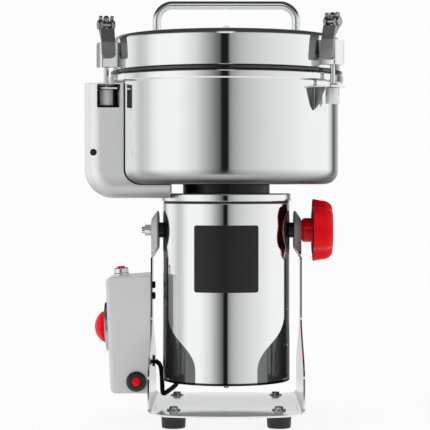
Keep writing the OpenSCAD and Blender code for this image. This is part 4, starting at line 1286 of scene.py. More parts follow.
@dataclass
class Stand:
    """The bent sheet stand with its feet, screws and grommet. Sizes are in millimetres.

    Attributes:
        shop: What it is built with.
        half_w: Half of its width.
        sheet: Thickness of its sheet.
        bend: Outside radius of its bends.
        half_d: Half of the base's depth at the middle.
        bow: How far the base's front and back edges bow out.
        foot_h: Height of the feet.
        foot_at: Place of the feet across and along.
        pivot_z: Height of the tilt axis.
        ear: Radius of the ears.
        stem: Half of an arm's depth at its narrowest.
        flare_top: Height where the arm starts to widen.
        flare_bottom: Height where the widening ends.
        roll: How far the base's front and back edges roll down.
        roll_w: Depth of that roll.
        dish: How far the ears' rims are drawn towards the motor.
        dish_w: Width of the drawn rim.
        dish_end: Height where the drawn edge runs out down the arm.
        dish_drop: How far the draw takes the top of an ear down.
        bore: Radius of the ears' holes.
        spares: Heights of the right arm's spare holes.
        spare_r: Radius of those holes.
        grommet_at: Place of the cable's grommet from front to back, and its height.
        box_screws: Heights of the screws that hold the control box.
    """

    shop: Workshop
    half_w: float = 90.0
    sheet: float = 2.0
    bend: float = 6.5
    half_d: float = 118.0
    bow: float = 18.0
    foot_h: float = 18.5
    foot_at: tuple[float, float] = (61.0, 72.0)
    pivot_z: float = 227.0
    ear: float = 25.0
    stem: float = 17.0
    flare_top: float = 124.0
    flare_bottom: float = 58.0
    roll: float = 2.0
    roll_w: float = 60.0
    dish: float = 7.5
    dish_w: float = 13.0
    dish_end: float = 194.0
    dish_drop: float = 2.2
    bore: float = 4.05
    spares: tuple[float, float] = (131.0, 88.0)
    spare_r: float = 2.0
    grommet_at: tuple[float, float] = (22.0, 68.0)
    box_screws: tuple[float, float] = (161.0, 148.0)

    def half_depth(self, x: float, z: float) -> float:
        """Half of the sheet's depth at a place on its bent line.

        Args:
            x: Place across.
            z: Height.

        Returns:
            The half depth.
        """
        side = self.half_d - self.bow
        if z < self.foot_h + self.bend:
            reach = (self.half_w ** 2 + self.bow ** 2) / (2 * self.bow)
            return self.half_d - (reach - math.sqrt(reach ** 2 - x ** 2))
        if z < self.flare_bottom:
            return side
        if z < self.flare_top:
            share = (self.flare_top - z) / (self.flare_top - self.flare_bottom)
            return self.stem + (side - self.stem) * (1 - math.cos(math.pi * share)) / 2
        lift = z - self.pivot_z
        round_part = math.sqrt(max(self.ear ** 2 - lift ** 2, 0.0))
        return max(round_part, self.stem if lift < 0 else 0.0)

    def line(self) -> Outline:
        """The sheet's middle line, from the left ear over the base to the right ear."""
        inset = self.sheet / 2
        x, low = self.half_w - inset, self.foot_h + inset
        steps = 22
        ear_low = self.pivot_z - math.sqrt(self.ear ** 2 - self.stem ** 2)
        heights = [self.pivot_z + self.ear * math.cos(math.pi * k / (2 * steps)) for k in range(steps + 1)]
        heights[0] -= 0.02
        heights += [self.pivot_z - (self.pivot_z - ear_low) * (k + 1) / 12 for k in range(12)]
        heights += [ear_low - (ear_low - self.dish_end + 2) * (k + 1) / 9 for k in range(9)]
        heights += [self.flare_top - (self.flare_top - self.flare_bottom) * k / 28 for k in range(29)]
        arm = [(-x, z) for z in heights]
        corner = filleted([(-x, self.flare_bottom - 4, 0), (-x, low, self.bend - inset), (0, low, 0)],
                          steps=10)
        base = [(-x * 0.9 * (1 - k / 9), low) for k in range(9)]
        left = arm + corner[:-1] + base[1:]
        return left + [(0, low)] + [(-a, b) for a, b in reversed(left)]

    def drawn(self, y: float, z: float) -> float:
        """How much of the ear's draw a place on an arm has.

        Args:
            y: Place from the front to the back.
            z: Height.

        Returns:
            The share, from 0 to 1.
        """
        lift = z - self.pivot_z
        corner = -math.sqrt(self.ear ** 2 - self.stem ** 2)
        if lift * self.stem > corner * abs(y):
            edge = self.ear - math.hypot(y, lift)
        else:
            edge = math.hypot(self.stem - abs(y), max(lift - corner, 0.0))
        fade = min(max((z - self.dish_end) / 12, 0.0), 1.0)
        return min(max(1 - edge / self.dish_w, 0.0), 1.0) ** 1.1 * fade

    def frame_sheet(self) -> None:
        """The bent sheet, with its holes."""
        made = self.shop.piece("stand_sheet")
        line = self.line()
        columns = 40
        rows = []
        for x, z in line:
            half = self.half_depth(x, z)
            shares = [math.sin(math.pi / 2 * (2 * k / columns - 1)) for k in range(columns + 1)]
            rows.append([made.shape.verts.new((x, half * s, z)) for s in shares])
        for a, b in zip(rows, rows[1:]):
            for k in range(columns):
                made.shape.faces.new((a[k], a[k + 1], b[k + 1], b[k]))
        for vertex in made.shape.verts:
            x, y, z = vertex.co
            inward = self.half_depth(x, z) - abs(y)
            if z < self.foot_h + self.bend and inward < self.roll_w:
                level = min(max((self.half_w - 6 - abs(x)) / 14, 0.0), 1.0)
                vertex.co.z -= self.roll * level * (1 - inward / self.roll_w) ** 2
            elif z > self.dish_end:
                share = self.drawn(y, z)
                vertex.co.x -= math.copysign(self.dish * share, x)
                vertex.co.z -= self.dish_drop * share * max((z - self.pivot_z) / self.ear, 0.0)
        made.change("SOLIDIFY", thickness=self.sheet, offset=0.0, use_even_offset=True)
        tools = []
        ears = self.shop.piece("ear_bore")
        reach = self.half_w + 5
        tools.append(ears.cylinder(self.bore, -reach, reach, along(0, self.pivot_z, 1), 48))
        for z in self.spares:
            spare = self.shop.piece("spare_bore")
            tools.append(spare.cylinder(self.spare_r, -6, 6, along(self.half_w, z, 1), 32))
        made.cut(*tools)
        made.soften(0.4, past=40)
        # The stand's finish paints shade on the faces that look in at the motor.
        made.settle("stand", "steel_polished", "stand_frame", look="steel_stand", even=True)

    def feet(self) -> None:
        """The rubber feet and the screws that hold them."""
        foot = self.shop.piece("feet")
        outline = filleted([(4, 1.2, 0), (8, 1.2, 0.6), (8.6, 0, 0.6), (13.6, 0, 1.4),
                            (14.1, self.foot_h * 0.5, 0), (14.6, self.foot_h, 0.6), (4, self.foot_h, 0)])
        foot.lathe(outline + [(4, 1.2)], steps=72, closed=False)
        width, depth = (2 * v for v in self.foot_at)
        self.shop.corners(foot, "rubber_black", width, depth)
        foot.settle("stand", "rubber_black", "rubber_feet")
        plate = self.foot_h + self.sheet
        screw = self.shop.piece("foot_bolts")
        screw.spindle([(0, plate, 0), (8, plate, 0.1), (8, plate + 1.2, 0.4), (5, plate + 1.2, 0.1),
                       (5, plate + 4.2, 2.2), (0, plate + 4.2, 0)], steps=64)
        for turn in (20, 110):
            slot = self.shop.piece("driver_slot")
            slot.prism(rectangle(-3, 3, -0.45, 0.45), plate + 2.8, plate + 6,
                       Matrix.Rotation(math.radians(turn), 4, "Z"))
            screw.cut(slot)
        self.shop.corners(screw, "screw_steel", width, depth)
        screw.settle("stand", "screw_steel", "foot_screws")

    def build(self) -> None:
        """Builds the stand's pieces."""
        self.frame_sheet()
        self.feet()
        grommet = self.shop.piece("grommet")
        place, height = self.grommet_at
        seat = along(self.half_w - self.sheet, height, -1, place) @ Matrix.Rotation(math.pi, 4, "X")
        form = filleted([(3.05, -2, 0), (6, -2, 0), (6, 0, 0.2), (7, 0, 0.5), (7, 1.5, 0.6), (3.05, 1.5, 0.5),
                         (3.05, -2, 0)])
        grommet.lathe(form, seat, 48)
        grommet.settle("stand", "rubber_black", "cable_grommet")
        screws = self.shop.piece("box_fixings")
        for z in self.box_screws:
            screws.spindle([(0, 3, 0), (4.2, 2.8, 2.4), (4.2, 0, 0.1), (0, 0, 0)],
                           along(-self.half_w + self.sheet, z, 1, 6), 48)
        screws.settle("stand", "screw_black", "box_screws")


# The motor


@dataclass
class Motor:
    """The motor housing with its cap, seam, neck, label place and cable. Sizes are in millimetres.

    Attributes:
        shop: What it is built with.
        radius: Radius of the housing.
        low: Height of its lower edge.
        high: Height of its upper edge.
        wall: Wall of the housing.
        cap_r: Radius of the cap.
        cap_z: Height of the cap's lower edge.
        neck_z: Height of the cap's top.
        neck_r: Radius of the neck.
        bowl_z: Height of the neck's top.
        label_arc: Angle that the label place takes up, in degrees.
        label_z: Heights of its lower and upper edge.
        pivot_z: Height of the tilt axis.
        bore: Radius of the hole in the cap and the neck.
        cable_r: Radius of the cable.
        rounds: How often the cable's corners are cut, which rounds its bends.
        route: Places that the cable goes by, before its bends are rounded.
    """

    shop: Workshop
    radius: float = 76.0
    low: float = 48.0
    high: float = 259.0
    wall: float = 2.0
    cap_r: float = 77.5
    cap_z: float = 261.8
    neck_z: float = 271.1
    neck_r: float = 52.0
    bowl_z: float = 282.0
    label_arc: float = 58.6
    label_z: tuple[float, float] = (156.0, 234.0)
    pivot_z: float = 227.0
    bore: float = 30.0
    cable_r: float = 2.75
    rounds: int = 3
    route: Corners = (
        (-58, -33, 51.5), (-58.4, -33.2, 46), (-63.5, -34, 41.5), (-69, -33, 37.5), (-73.5, -27, 34),
        (-76, -12, 33), (-77, 4, 40), (-78, 14, 54), (-80, 20, 64), (-86, 22, 68))

    def housing(self) -> None:
        """The can, its cap, the seam between them and the neck."""
        inner = self.radius - self.wall
        can = self.shop.piece("motor_can")
        can.hoop([(inner, self.low, 0.4), (self.radius, self.low, 0.7), (self.radius, self.high, 0.5),
                  (inner, self.high, 0.3)], steps=256, corner=4)
        # The can's finish paints shade along its lowest edge.
        can.settle("head", "steel_mirror", "motor_housing", look="steel_can")
        seam = self.shop.piece("motor_seam")
        seam.lathe([(inner, self.high), (self.radius - 1, self.high), (self.radius - 1, self.cap_z),
                    (inner, self.cap_z)], steps=160, closed=True)
        seam.settle("head", "rubber_black", "cap_gasket")
        cap = self.shop.piece("motor_cap")
        cap.hoop([(self.bore, self.cap_z, 0), (self.cap_r, self.cap_z, 0.6), (self.cap_r, self.neck_z, 2.0),
                  (self.bore, self.neck_z, 0)], steps=256, corner=6)
        cap.settle("head", "steel_mirror", "motor_top_cap")
        neck = self.shop.piece("neck")
        neck.hoop([(self.bore, self.neck_z, 0), (self.neck_r, self.neck_z, 0.5),
                   (self.neck_r, self.bowl_z, 0.5), (self.bore, self.bowl_z, 0)], corner=3)
        neck.settle("head", "plastic_black", "neck_ring")

    def label_place(self) -> None:
        """The plain film where a label would be, with rounded corners."""
        made = self.shop.piece("label_place")
        corner = 3.0
        half = self.radius * math.radians(self.label_arc) / 2
        rings = []
        near = [half - corner * (1 - math.cos(math.pi * k / 16)) for k in range(8, -1, -1)]
        spread = near + [half - corner - (half - corner) * k / 20 for k in range(1, 21)]
        across = sorted({round(v, 5) for v in spread} | {round(-v, 5) for v in spread})
        for u in across:
            depth = max(abs(u) - (half - corner), 0.0)
            trim = corner - math.sqrt(max(corner ** 2 - depth ** 2, 0.0))
            trim = min(trim, corner - 0.05)
            angle = -math.pi / 2 + u / self.radius
            inner, outer = self.radius + 0.05, self.radius + 0.45
            low, high = self.label_z[0] + trim, self.label_z[1] - trim
            rings.append([Vector((r * math.cos(angle), r * math.sin(angle), z))
                          for r, z in ((inner, low), (outer, low), (outer, high), (inner, high))])
        made.bands(rings)
        made.settle("head", "label_film", "label_plate")

    def under_side(self) -> None:
        """The screws in the lower end shield."""
        screw = self.shop.piece("base_fixings")
        head = 2.6
        screw.spindle([(0, 0, 0), (2.6, 0, 0.8), (3.2, head, 0), (0, head, 0)],
                      Matrix.Translation((0, -66, self.low - head)), 40)
        self.shop.copies(screw, "screw_steel", 3, 120)
        screw.settle("head", "screw_steel", "base_screws")

    def hardware(self) -> None:
        """The spacers, and the pivot screw and its nut."""
        spacers = self.shop.piece("pivot_bushes")
        for side in (-1, 1):
            spacers.hoop([(4.2, -1.2, 0), (9.25, -1.2, 0), (9.25, 11.7, 1.0), (4.2, 11.7, 0)],
                         along(self.radius, self.pivot_z, side), 64)
        spacers.settle("head", "plastic_black", "pivot_spacers")
        bolt = self.shop.piece("pivot_screw")
        bolt.lathe([(0, 0), (4, 0), *filleted([(4, 0, 0), (4, 32.5, 1.0), (0, 32.5, 0)])[1:]],
                   along(69, self.pivot_z, -1), 48)
        bolt.settle("head", "steel_plated", "pivot_bolt")
        nut = self.shop.piece("pivot_hex")
        hex_nut(nut, 7.5, 7.2, 4.05, along(90.3, self.pivot_z, -1))
        nut.settle("head", "steel_plated", "pivot_nut")

    def cable(self) -> None:
        """The cable from the motor's underside to the grommet in the left arm."""
        route = [Vector(p) for p in self.route]
        for _ in range(self.rounds):
            inner = [a.lerp(b, share) for a, b in zip(route, route[1:]) for share in (0.25, 0.75)]
            route = [route[0], *inner, route[-1]]
        cable = self.shop.bar("motor_cable_lead", route, self.cable_r, "rubber_black", 20)
        obj = cable.settle("head", "rubber_black", "motor_cable", rides=False)
        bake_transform(obj)

    def build(self) -> None:
        """Builds the motor's pieces."""
        self.housing()
        self.label_place()
        self.under_side()
        self.hardware()
        self.cable()


# The bowl and the lid


@dataclass
class Bowl:
    """The grinding bowl's outer shell. Sizes are in millimetres.

    Attributes:
        shop: What it is built with.
        radius: Outside radius.
        low: Height of its bottom.
        rim_r: Radius of the rim band.
        rim_top: Height of the rim's top.
        rim_h: Height of the rim band.
        corner: Radius of the bottom corner.
        sheet: Thickness of its sheet.
        bore: Radius of the hole in its bottom.
    """

    shop: Workshop
    radius: float = 134.0
    low: float = 282.0
    rim_r: float = 140.0
    rim_top: float = 411.0
    rim_h: float = 9.7
    corner: float = 17.0
    sheet: float = 2.0
    bore: float = 16.0

    def build(self) -> None:
        """Builds the shell with its rolled rim."""
        inner = self.radius - self.sheet
        shell = self.shop.piece("bowl_shell")
        band = self.rim_top - self.rim_h
        shell.hoop([(self.bore, self.low, 0), (self.radius, self.low, self.corner), (self.radius, band, 0.5),
                    (self.rim_r, band, 2.2), (self.rim_r, self.rim_top, 2.2), (inner, self.rim_top, 0.6),
                    (inner, self.low + self.sheet, self.corner - self.sheet),
                    (self.bore, self.low + self.sheet, 0)], steps=288, corner=14)
        # The bowl's finish paints shade along its bottom corner.
        shell.settle("head", "steel_bowl", "bowl")


@dataclass
class Lid:
    """The lid with its handle and centre nut. Sizes are in millimetres.

    Attributes:
        shop: What it is built with.
        radius: Radius of its wall.
        low: Height of its lower edge.
        top: Height of its top.
        shoulder: Radius of its shoulder.
        bead_r: Radius of the bead.
        bead_h: Height of the bead.
        handle_w: Width of the handle.
        handle_top: Height of the handle's top.
        handle_d: Diameter of its bar.
        handle_bend: Radius of its bends.
        sheet: Thickness of the lid's sheet.
    """

    shop: Workshop
    radius: float = 136.0
    low: float = 411.3
    top: float = 457.5
    shoulder: float = 6.5
    bead_r: float = 139.0
    bead_h: float = 4.8
    handle_w: float = 177.0
    handle_top: float = 501.5
    handle_d: float = 10.0
    handle_bend: float = 19.0
    sheet: float = 2.0

    def shell(self) -> None:
        """The domed shell with its bead."""
        made = self.shop.piece("lid_dome")
        inner, under, bead = self.radius - self.sheet, self.top - self.sheet, self.low + self.bead_h
        made.spindle([(0, self.top, 0), (self.radius, self.top, self.shoulder), (self.radius, bead, 0.8),
                      (self.bead_r, bead, 2.2), (self.bead_r, self.low, 2.2), (inner, self.low, 0.4),
                      (inner, under, self.shoulder - 1), (0, under, 0)], steps=288, corner=12)
        # The lid's finish paints shade along its lower bead.
        made.settle("lid", "steel_mirror", "lid_shell", look="steel_lid")

    def handle(self) -> None:
        """The bent bar handle with its collars."""
        radius = self.handle_d / 2
        leg = self.handle_w / 2 - radius
        half = filleted([(0, self.handle_top - radius, 0), (leg, self.handle_top - radius, self.handle_bend),
                         (leg, self.top, 0)], steps=20)
        path = [Vector((-x, 0, z)) for x, z in reversed(half)] + [Vector((x, 0, z)) for x, z in half[1:]]
        bar = self.shop.bar("handle_bar", path, radius - 0.02, "steel_polished", 40)
        bar.settle("lid", "steel_polished", "lid_handle")
        collars = self.shop.piece("handle_collars")
        for side in (-1, 1):
            collars.spindle([(0, 0, 0), (10, 0, 0), (10, 2.5, 1.2), (5.2, 2.5, 0), (0, 2.5, 0)],
                            Matrix.Translation((side * leg, 0, self.top)), 72)
        collars.settle("lid", "steel_polished")

    def centre_nut(self) -> None:
        """The domed nut that holds the lid's parts together."""
        made = self.shop.piece("lid_acorn_nut")
        hex_nut(made, 7, 8, 0.5, Matrix.Translation((0, 0, self.top)))
        dome = domed(6.0, self.top + 8, 6.9, 14)
        made.lathe([(0, self.top + 6), (6, self.top + 6), *dome, (0, self.top + 14.9)], steps=64)
        # The centre nut gets a near-white lightened copy of the plated steel: painted light.
        made.settle("lid", "steel_plated", "lid_nut", look="zinc_matt")

    def build(self) -> None:
        """Builds the lid's pieces."""
        self.shell()
        self.handle()
        self.centre_nut()


# The clamps


@dataclass
class Clamps:
    """The two clamps that hold the lid down. Sizes are in millimetres.

    In a clamp's own frame u points out from the bowl, v to the back, and z up.

    Attributes:
        shop: What they are built with.
        angles: Angle of the left and the right clamp from the front, in degrees.
        rod_at: Distance of the rods from the bowl's middle.
        rod_r: Radius of a rod.
        pin_z: Height of the pins.
        shelf_z: Height of the shelves on the bowl.
        bracket_z: Height of the lid's channels.
        bracket_h: Height of a channel.
        lever_w: Width of a lever.
        bowl_r: Radius of the bowl.
        lid_r: Radius of the lid.
        shelf_fronts: How far the left and the right shelf reach to the front of the rod.
        right_more: How much longer the right lever is.
        nut_reach: How far the nuts and the rods reach below the shelves.
        pitch: Pitch of the rods' thread.
        hole_r: Radius of the hole in a shelf's base plate.
        sheet: Thickness of the channels' and the shelves' sheet.
    """

    shop: Workshop
    angles: tuple[float, float] = (73.0, 56.0)
    rod_at: float = 147.5
    rod_r: float = 3.0
    pin_z: float = 469.0
    shelf_z: float = 395.0
    bracket_z: float = 419.0
    bracket_h: float = 29.0
    lever_w: float = 16.5
    bowl_r: float = 134.0
    lid_r: float = 136.0
    shelf_fronts: tuple[float, float] = (15.0, 19.0)
    right_more: float = 4.0
    nut_reach: float = 21.0
    pitch: float = 0.8
    hole_r: float = 1.7
    sheet: float = 2.0

    def place(self, side: int) -> Matrix:
        """The frame of a clamp, with its X axis outwards and its Y axis to the back.

        Args:
            side: -1 for the left and 1 for the right.

        Returns:
            The frame.
        """
        angle = self.angles[0] if side < 0 else self.angles[1]
        turned = Matrix.Rotation(math.radians(angle - 90), 4, "Z")
        return turned if side > 0 else Matrix.Scale(-1, 4, (1, 0, 0)) @ turned

    def channel(self, side: int) -> Piece:
        """A channel on the lid, bent from sheet, with its open slots for the rod.

        Args:
            side: Which clamp.

        Returns:
            The piece, in the mill's place.
        """
        low, high = self.bracket_z, self.bracket_z + self.bracket_h
        form = filleted([(-7, high, 0.4), (12, high, 3), (12, low, 3), (-7, low, 0.4),
                         (-7, low + self.sheet, 0.4), (10, low + self.sheet, 1.2),
                         (10, high - self.sheet, 1.2), (-7, high - self.sheet, 0.4)], closed=True, steps=5)
        made = self.shop.piece("channel")
        made.prism(form, self.lid_r - 10, self.rod_at + 9, SIDEWAYS)
        plan = filleted([(self.lid_r - 12, -8, 0), (self.rod_at + 9, -8, 4), (self.rod_at + 9, 13, 0),
                         (self.lid_r - 12, 13, 0)], closed=True)
        outer = self.shop.piece("channel_plan").prism(plan, low - 2, high + 2)
        made.combine("INTERSECT", outer)
        slot_w = self.rod_r + 1.2
        slot = self.shop.piece("slot")
        near, far = self.rod_at - slot_w, self.rod_at + slot_w
        slot.prism(filleted([(near, slot_w, slot_w), (near, -12, 0), (far, -12, 0), (far, slot_w, slot_w)],
                            closed=True), low - 3, high + 3)
        made.cut(slot, self.lid_solid(low, high))
        made.soften(0.35)
        made.join(self.front())
        return made.move(self.place(side))

    def lid_solid(self, low: float, high: float) -> Piece:
        """A solid of the lid's radius, a little longer than from one height to another."""
        return self.shop.piece("lid_tool").prism(circle(self.lid_r, 192), low - 4, high + 4)

    def front(self) -> Piece:
        """The folded front of a channel, with its outer end and its rivet, in the clamp's frame."""
        low, high = self.bracket_z, self.bracket_z + self.bracket_h - 0.2
        end = self.rod_at + 8.9
        made = self.shop.piece("channel_front")
        made.prism(filleted([(self.lid_r - 12, -8.6, 0), (end, -8.6, 3.6), (end, 11, 0), (end - 1.2, 11, 0),
                             (end - 1.2, -7.4, 2.4), (self.lid_r - 12, -7.4, 0)], closed=True), low, high)
        made.cut(self.lid_solid(low, high))
        made.soften(0.25)
        rivet = self.shop.piece("front_rivet")
        rivet.lathe([(0, 0), *domed(3, 0, 1.2, 8), (0, 1.2)],
                    Matrix.Translation((self.rod_at, -8.6, low + self.bracket_h / 2)) @ ONTO_FRONT, 40)
        return made.join(rivet)

    def _trimmed(self, made: Piece) -> Piece:
        """Cuts a piece off at the bowl's wall and rounds its edges a little.

        Args:
            made: The piece, in the clamp's frame.

        Returns:
            The piece.
        """
        bowl = self.shop.piece("bowl_tool").prism(circle(self.bowl_r + 0.02, 192), self.shelf_z - 40,
                                                  self.shelf_z + 8)
        made.cut(bowl)
        return made.soften(0.3)

    def shelf(self, side: int) -> Piece:
        """A shelf on the bowl and the base plate that it is folded from.

        Args:
            side: Which clamp.

        Returns:
            The piece, in the mill's place.
        """
        high, front = self.shelf_z, self.shelf_fronts[side > 0]
        made = self.shop.piece("shelf")
        plan = filleted([(self.bowl_r - 14, -front, 0), (self.rod_at + 9.5, -front, 3),
                         (self.rod_at + 9.5, 14, 3), (self.bowl_r - 14, 14, 0)], closed=True, steps=5)
        made.prism(plan, high - self.sheet, high)
        self._trimmed(made)
        bore = self.shop.piece("rod_bore").prism(circle(self.rod_r + 0.05, 40, self.rod_at, 0), high - 6,
                                                 high + 3)
        made.cut(bore)
        first, last = math.asin(-front / self.bowl_r), math.asin(5 / self.bowl_r)
        angles = [first + (last - first) * k / 12 for k in range(13)]
        ways = ((self.bowl_r + 0.03, 1), (self.bowl_r + 2, -1))
        strip = [(r * math.cos(a), r * math.sin(a)) for r, way in ways for a in angles[::way]]
        base = self.shop.piece("shelf_base").prism(strip, high - 28.5, high - 2, edge=0.3)
        hole = self.shop.piece("base_hole")
        hole.cylinder(self.hole_r, 120, 145, Matrix.Translation((0, -7, high - 22.5)) @ ONTO_X, 24)
        base.cut(hole)
        made.join(base)
        return made.move(self.place(side))

    def gussets(self, side: int) -> Piece:
        """The gusset under a shelf: at the back on the left, in front on the right.

        Args:
            side: Which clamp.

        Returns:
            The piece, in the mill's place.
        """
        high = self.shelf_z - 2
        flank = [(self.bowl_r - 14, high), (self.bowl_r + 14.5, high), (self.bowl_r + 14.5, high - 1.5),
                 (self.bowl_r + 4, high - 22), (self.bowl_r, high - 26), (self.bowl_r - 14, high - 26)]
        made = self.shop.piece("gusset")
        front = 12.0 if side < 0 else -self.shelf_fronts[1]
        made.prism(flank, front, front + self.sheet, ACROSS)
        self._trimmed(made)
        return made.move(self.place(side))

    def rod(self, side: int) -> Piece:
        """A clamp rod with its turned ends.

        Args:
            side: Which clamp.

        Returns:
            The piece, in the mill's place.
        """
        low, high = self.shelf_z - self.nut_reach, self.pin_z + 4.5
        made = self.shop.piece("rod")
        thread = []
        z = low + 1
        while z < low + 24:
            thread += [(self.rod_r - 0.35, z), (self.rod_r, z + self.pitch / 2)]
            z += self.pitch
        made.lathe([(0, low), (self.rod_r - 0.7, low), *thread, (self.rod_r, low + 26),
                    (self.rod_r, high - 0.6), (self.rod_r - 0.6, high), (0, high)],
                   Matrix.Translation((self.rod_at, 0, 0)), 40)
        return made.move(self.place(side))

    def nut(self, side: int) -> Piece:
        """A slotted round nut under a shelf.

        Args:
            side: Which clamp.

        Returns:
            The piece, in the mill's place.
        """
        low = self.shelf_z - self.nut_reach
        made = self.shop.piece("nut")
        made.hoop([(3.05, 0, 0), (8, 0, 1), (8, 18.7, 0.6), (3.05, 18.7, 0)], steps=96, corner=5)
        slot = self.shop.piece("nut_slot").prism(rectangle(7, 9, -1, 1), 9.5, 20)
        self.shop.copies(slot, "steel_plated", 6, 60)
        made.cut(slot)
        made.soften(0.2, 1)
        return made.move(self.place(side) @ Matrix.Translation((self.rod_at, 0, low)))

    def pin(self, side: int) -> Piece:
        """A cross pin with its barrel and its two heads.

        Args:
            side: Which clamp.

        Returns:
            The piece, in the mill's place.
        """
        half = self.lever_w / 2
        made = self.shop.piece("pin")
        made.spindle([(0, -half - 2.1, 0), (4.7, -half - 2.1, 0.8), (4.7, -half - 0.3, 0.2),
                      (2.6, -half - 0.3, 0), (2.6, -half + 3.3, 0), (4.5, -half + 3.3, 0.4),
                      (4.5, half - 3.3, 0.4), (2.6, half - 3.3, 0), (2.6, half + 0.3, 0),
                      (5.6, half + 0.3, 0.3), (5.6, half + 2.1, 0.7), (0, half + 2.1, 0)], ONTO_X, 56,
                     corner=4)
        return made.move(self.place(side) @ Matrix.Translation((self.rod_at, 0, self.pin_z)))

    def dome(self, side: int) -> Piece:
        """A domed nut on a rod's top.

        Args:
            side: Which clamp.

        Returns:
            The piece, in the mill's place.
        """
        made = self.shop.piece("dome")
        hex_nut(made, 4, 2.6, 0.4, Matrix())
        made.lathe([(0, 1), (3.6, 1), *domed(3.6, 2.4, 4.0, 12), (0, 6.4)], steps=48)
        return made.move(self.place(side) @ Matrix.Translation((self.rod_at, 0, self.pin_z + 4.55)))

    def rivet(self, side: int) -> Piece:
        """A rivet in a channel's back wall.

        Args:
            side: Which clamp.

        Returns:
            The piece, in the mill's place.
        """
        made = self.shop.piece("rivet")
        made.lathe([(0, 0), *domed(3, 0, 1.6, 8), (0, 1.6)], ONTO_FRONT, 40)
        place = Matrix.Translation((self.rod_at, 10, self.bracket_z + self.bracket_h / 2))
        return made.move(self.place(side) @ place)

    def lever(self, side: int) -> None:
        """A lever: two cheeks on the pin, joined by a web with two bends.

        Args:
            side: Which clamp.
        """
        name = "left_lever" if side < 0 else "right_lever"
        half = self.lever_w / 2
        made = self.shop.piece(name + "_cast")
        cheek = filleted([(-3.4, 10.5, 3.4), (3.4, 10.5, 3.4), (3.4, 5.2, 1.5), (6.4, 3.8, 3), (6, -3, 4),
                          (-8.4, -18.5, 1.2), (-10.2, -18.5, 0.6), (-6.8, -6, 2), (-6.4, 3.8, 3),
                          (-3.4, 5.2, 1.5)], closed=True, steps=6)
        foot = 0.0 if side < 0 else self.right_more
        web = filleted([(-7, -4.6, 0.3), (-11.6, -20.8, 5), (-13.6, -33.6, 5), (-14.8, -39.9 - foot, 0.3),
                        (-12.2, -39.9 - foot, 0.3), (-11.0, -33.6, 5), (-9.0, -20.8, 5), (-4.4, -4.6, 0.3)],
                       closed=True, steps=6)
        made.prism(web, -half, half, SIDEWAYS)
        front = filleted([(-half, -2, 0), (-half, -40 - foot, 5.5), (half, -40 - foot, 5.5), (half, -2, 0)],
                         closed=True)
        outer = self.shop.piece("web_front").prism(front, -20, 5, ACROSS)
        made.combine("INTERSECT", outer)
        for low in (-half, half - 3):
            plate = self.shop.piece("cheek").prism(cheek, low, low + 3, SIDEWAYS)
            made.combine("UNION", plate)
        bore = self.shop.piece("pin_bore").cylinder(2.65, -half - 3, half + 3, ONTO_X, 40)
        made.cut(bore)
        made.soften(0.5, 3, 45)
        made.move(self.place(side) @ Matrix.Translation((self.rod_at, 0, self.pin_z)))
        made.settle(name, "lever_zinc", name, even=True)

    def pair(self, name: str, maker: Callable[[int], Piece], body: str, slot: str, *nodes: str,
             **settings: object) -> None:
        """Makes one piece from the left and the right clamp's copies.

        Args:
            name: The piece's name.
            maker: Makes one side's copy.
            body: The body that it moves with.
            slot: Its finish.
            *nodes: The frame's nodes that it stands for.
            **settings: Further settings of Piece.settle.
        """
        made = self.shop.piece(name)
        for side in (-1, 1):
            part = maker(side)
            made.shape.from_mesh(part.obj.data)
            bpy.data.objects.remove(part.obj)
        made.settle(body, slot, *nodes, **settings)

    def build(self) -> None:
        """Builds both clamps."""
        self.pair("lid_channels", self.channel, "lid", "steel_polished", "lid_brackets", even=True)
        self.pair("bowl_shelves", self.shelf, "head", "steel_polished", "bowl_brackets", even=True)
        # The gussets get a dark copy of the polished steel: painted shade under the shelves.
        self.pair("shelf_gussets", self.gussets, "head", "steel_polished", look="steel_shade")
        self.pair("rods", self.rod, "head", "steel_plated", "clamp_rods")
        # The clamp nuts get a near-white lightened copy of the plated steel: painted light.
        self.pair("rod_nuts", self.nut, "head", "steel_plated", "clamp_nuts", look="zinc_matt")
        # Pins and domed nuts get a darkened copy of the plated steel: painted shade.
        self.pair("cross_pins", self.pin, "lid", "steel_plated", "lever_pins", look="zinc_dull")
        self.pair("rod_domes", self.dome, "lid", "steel_plated", "dome_nuts", look="zinc_dull")
        self.pair("channel_rivets", self.rivet, "lid", "steel_plated", "bracket_rivets")
        self.lever(-1)
        self.lever(1)


# The switch cover


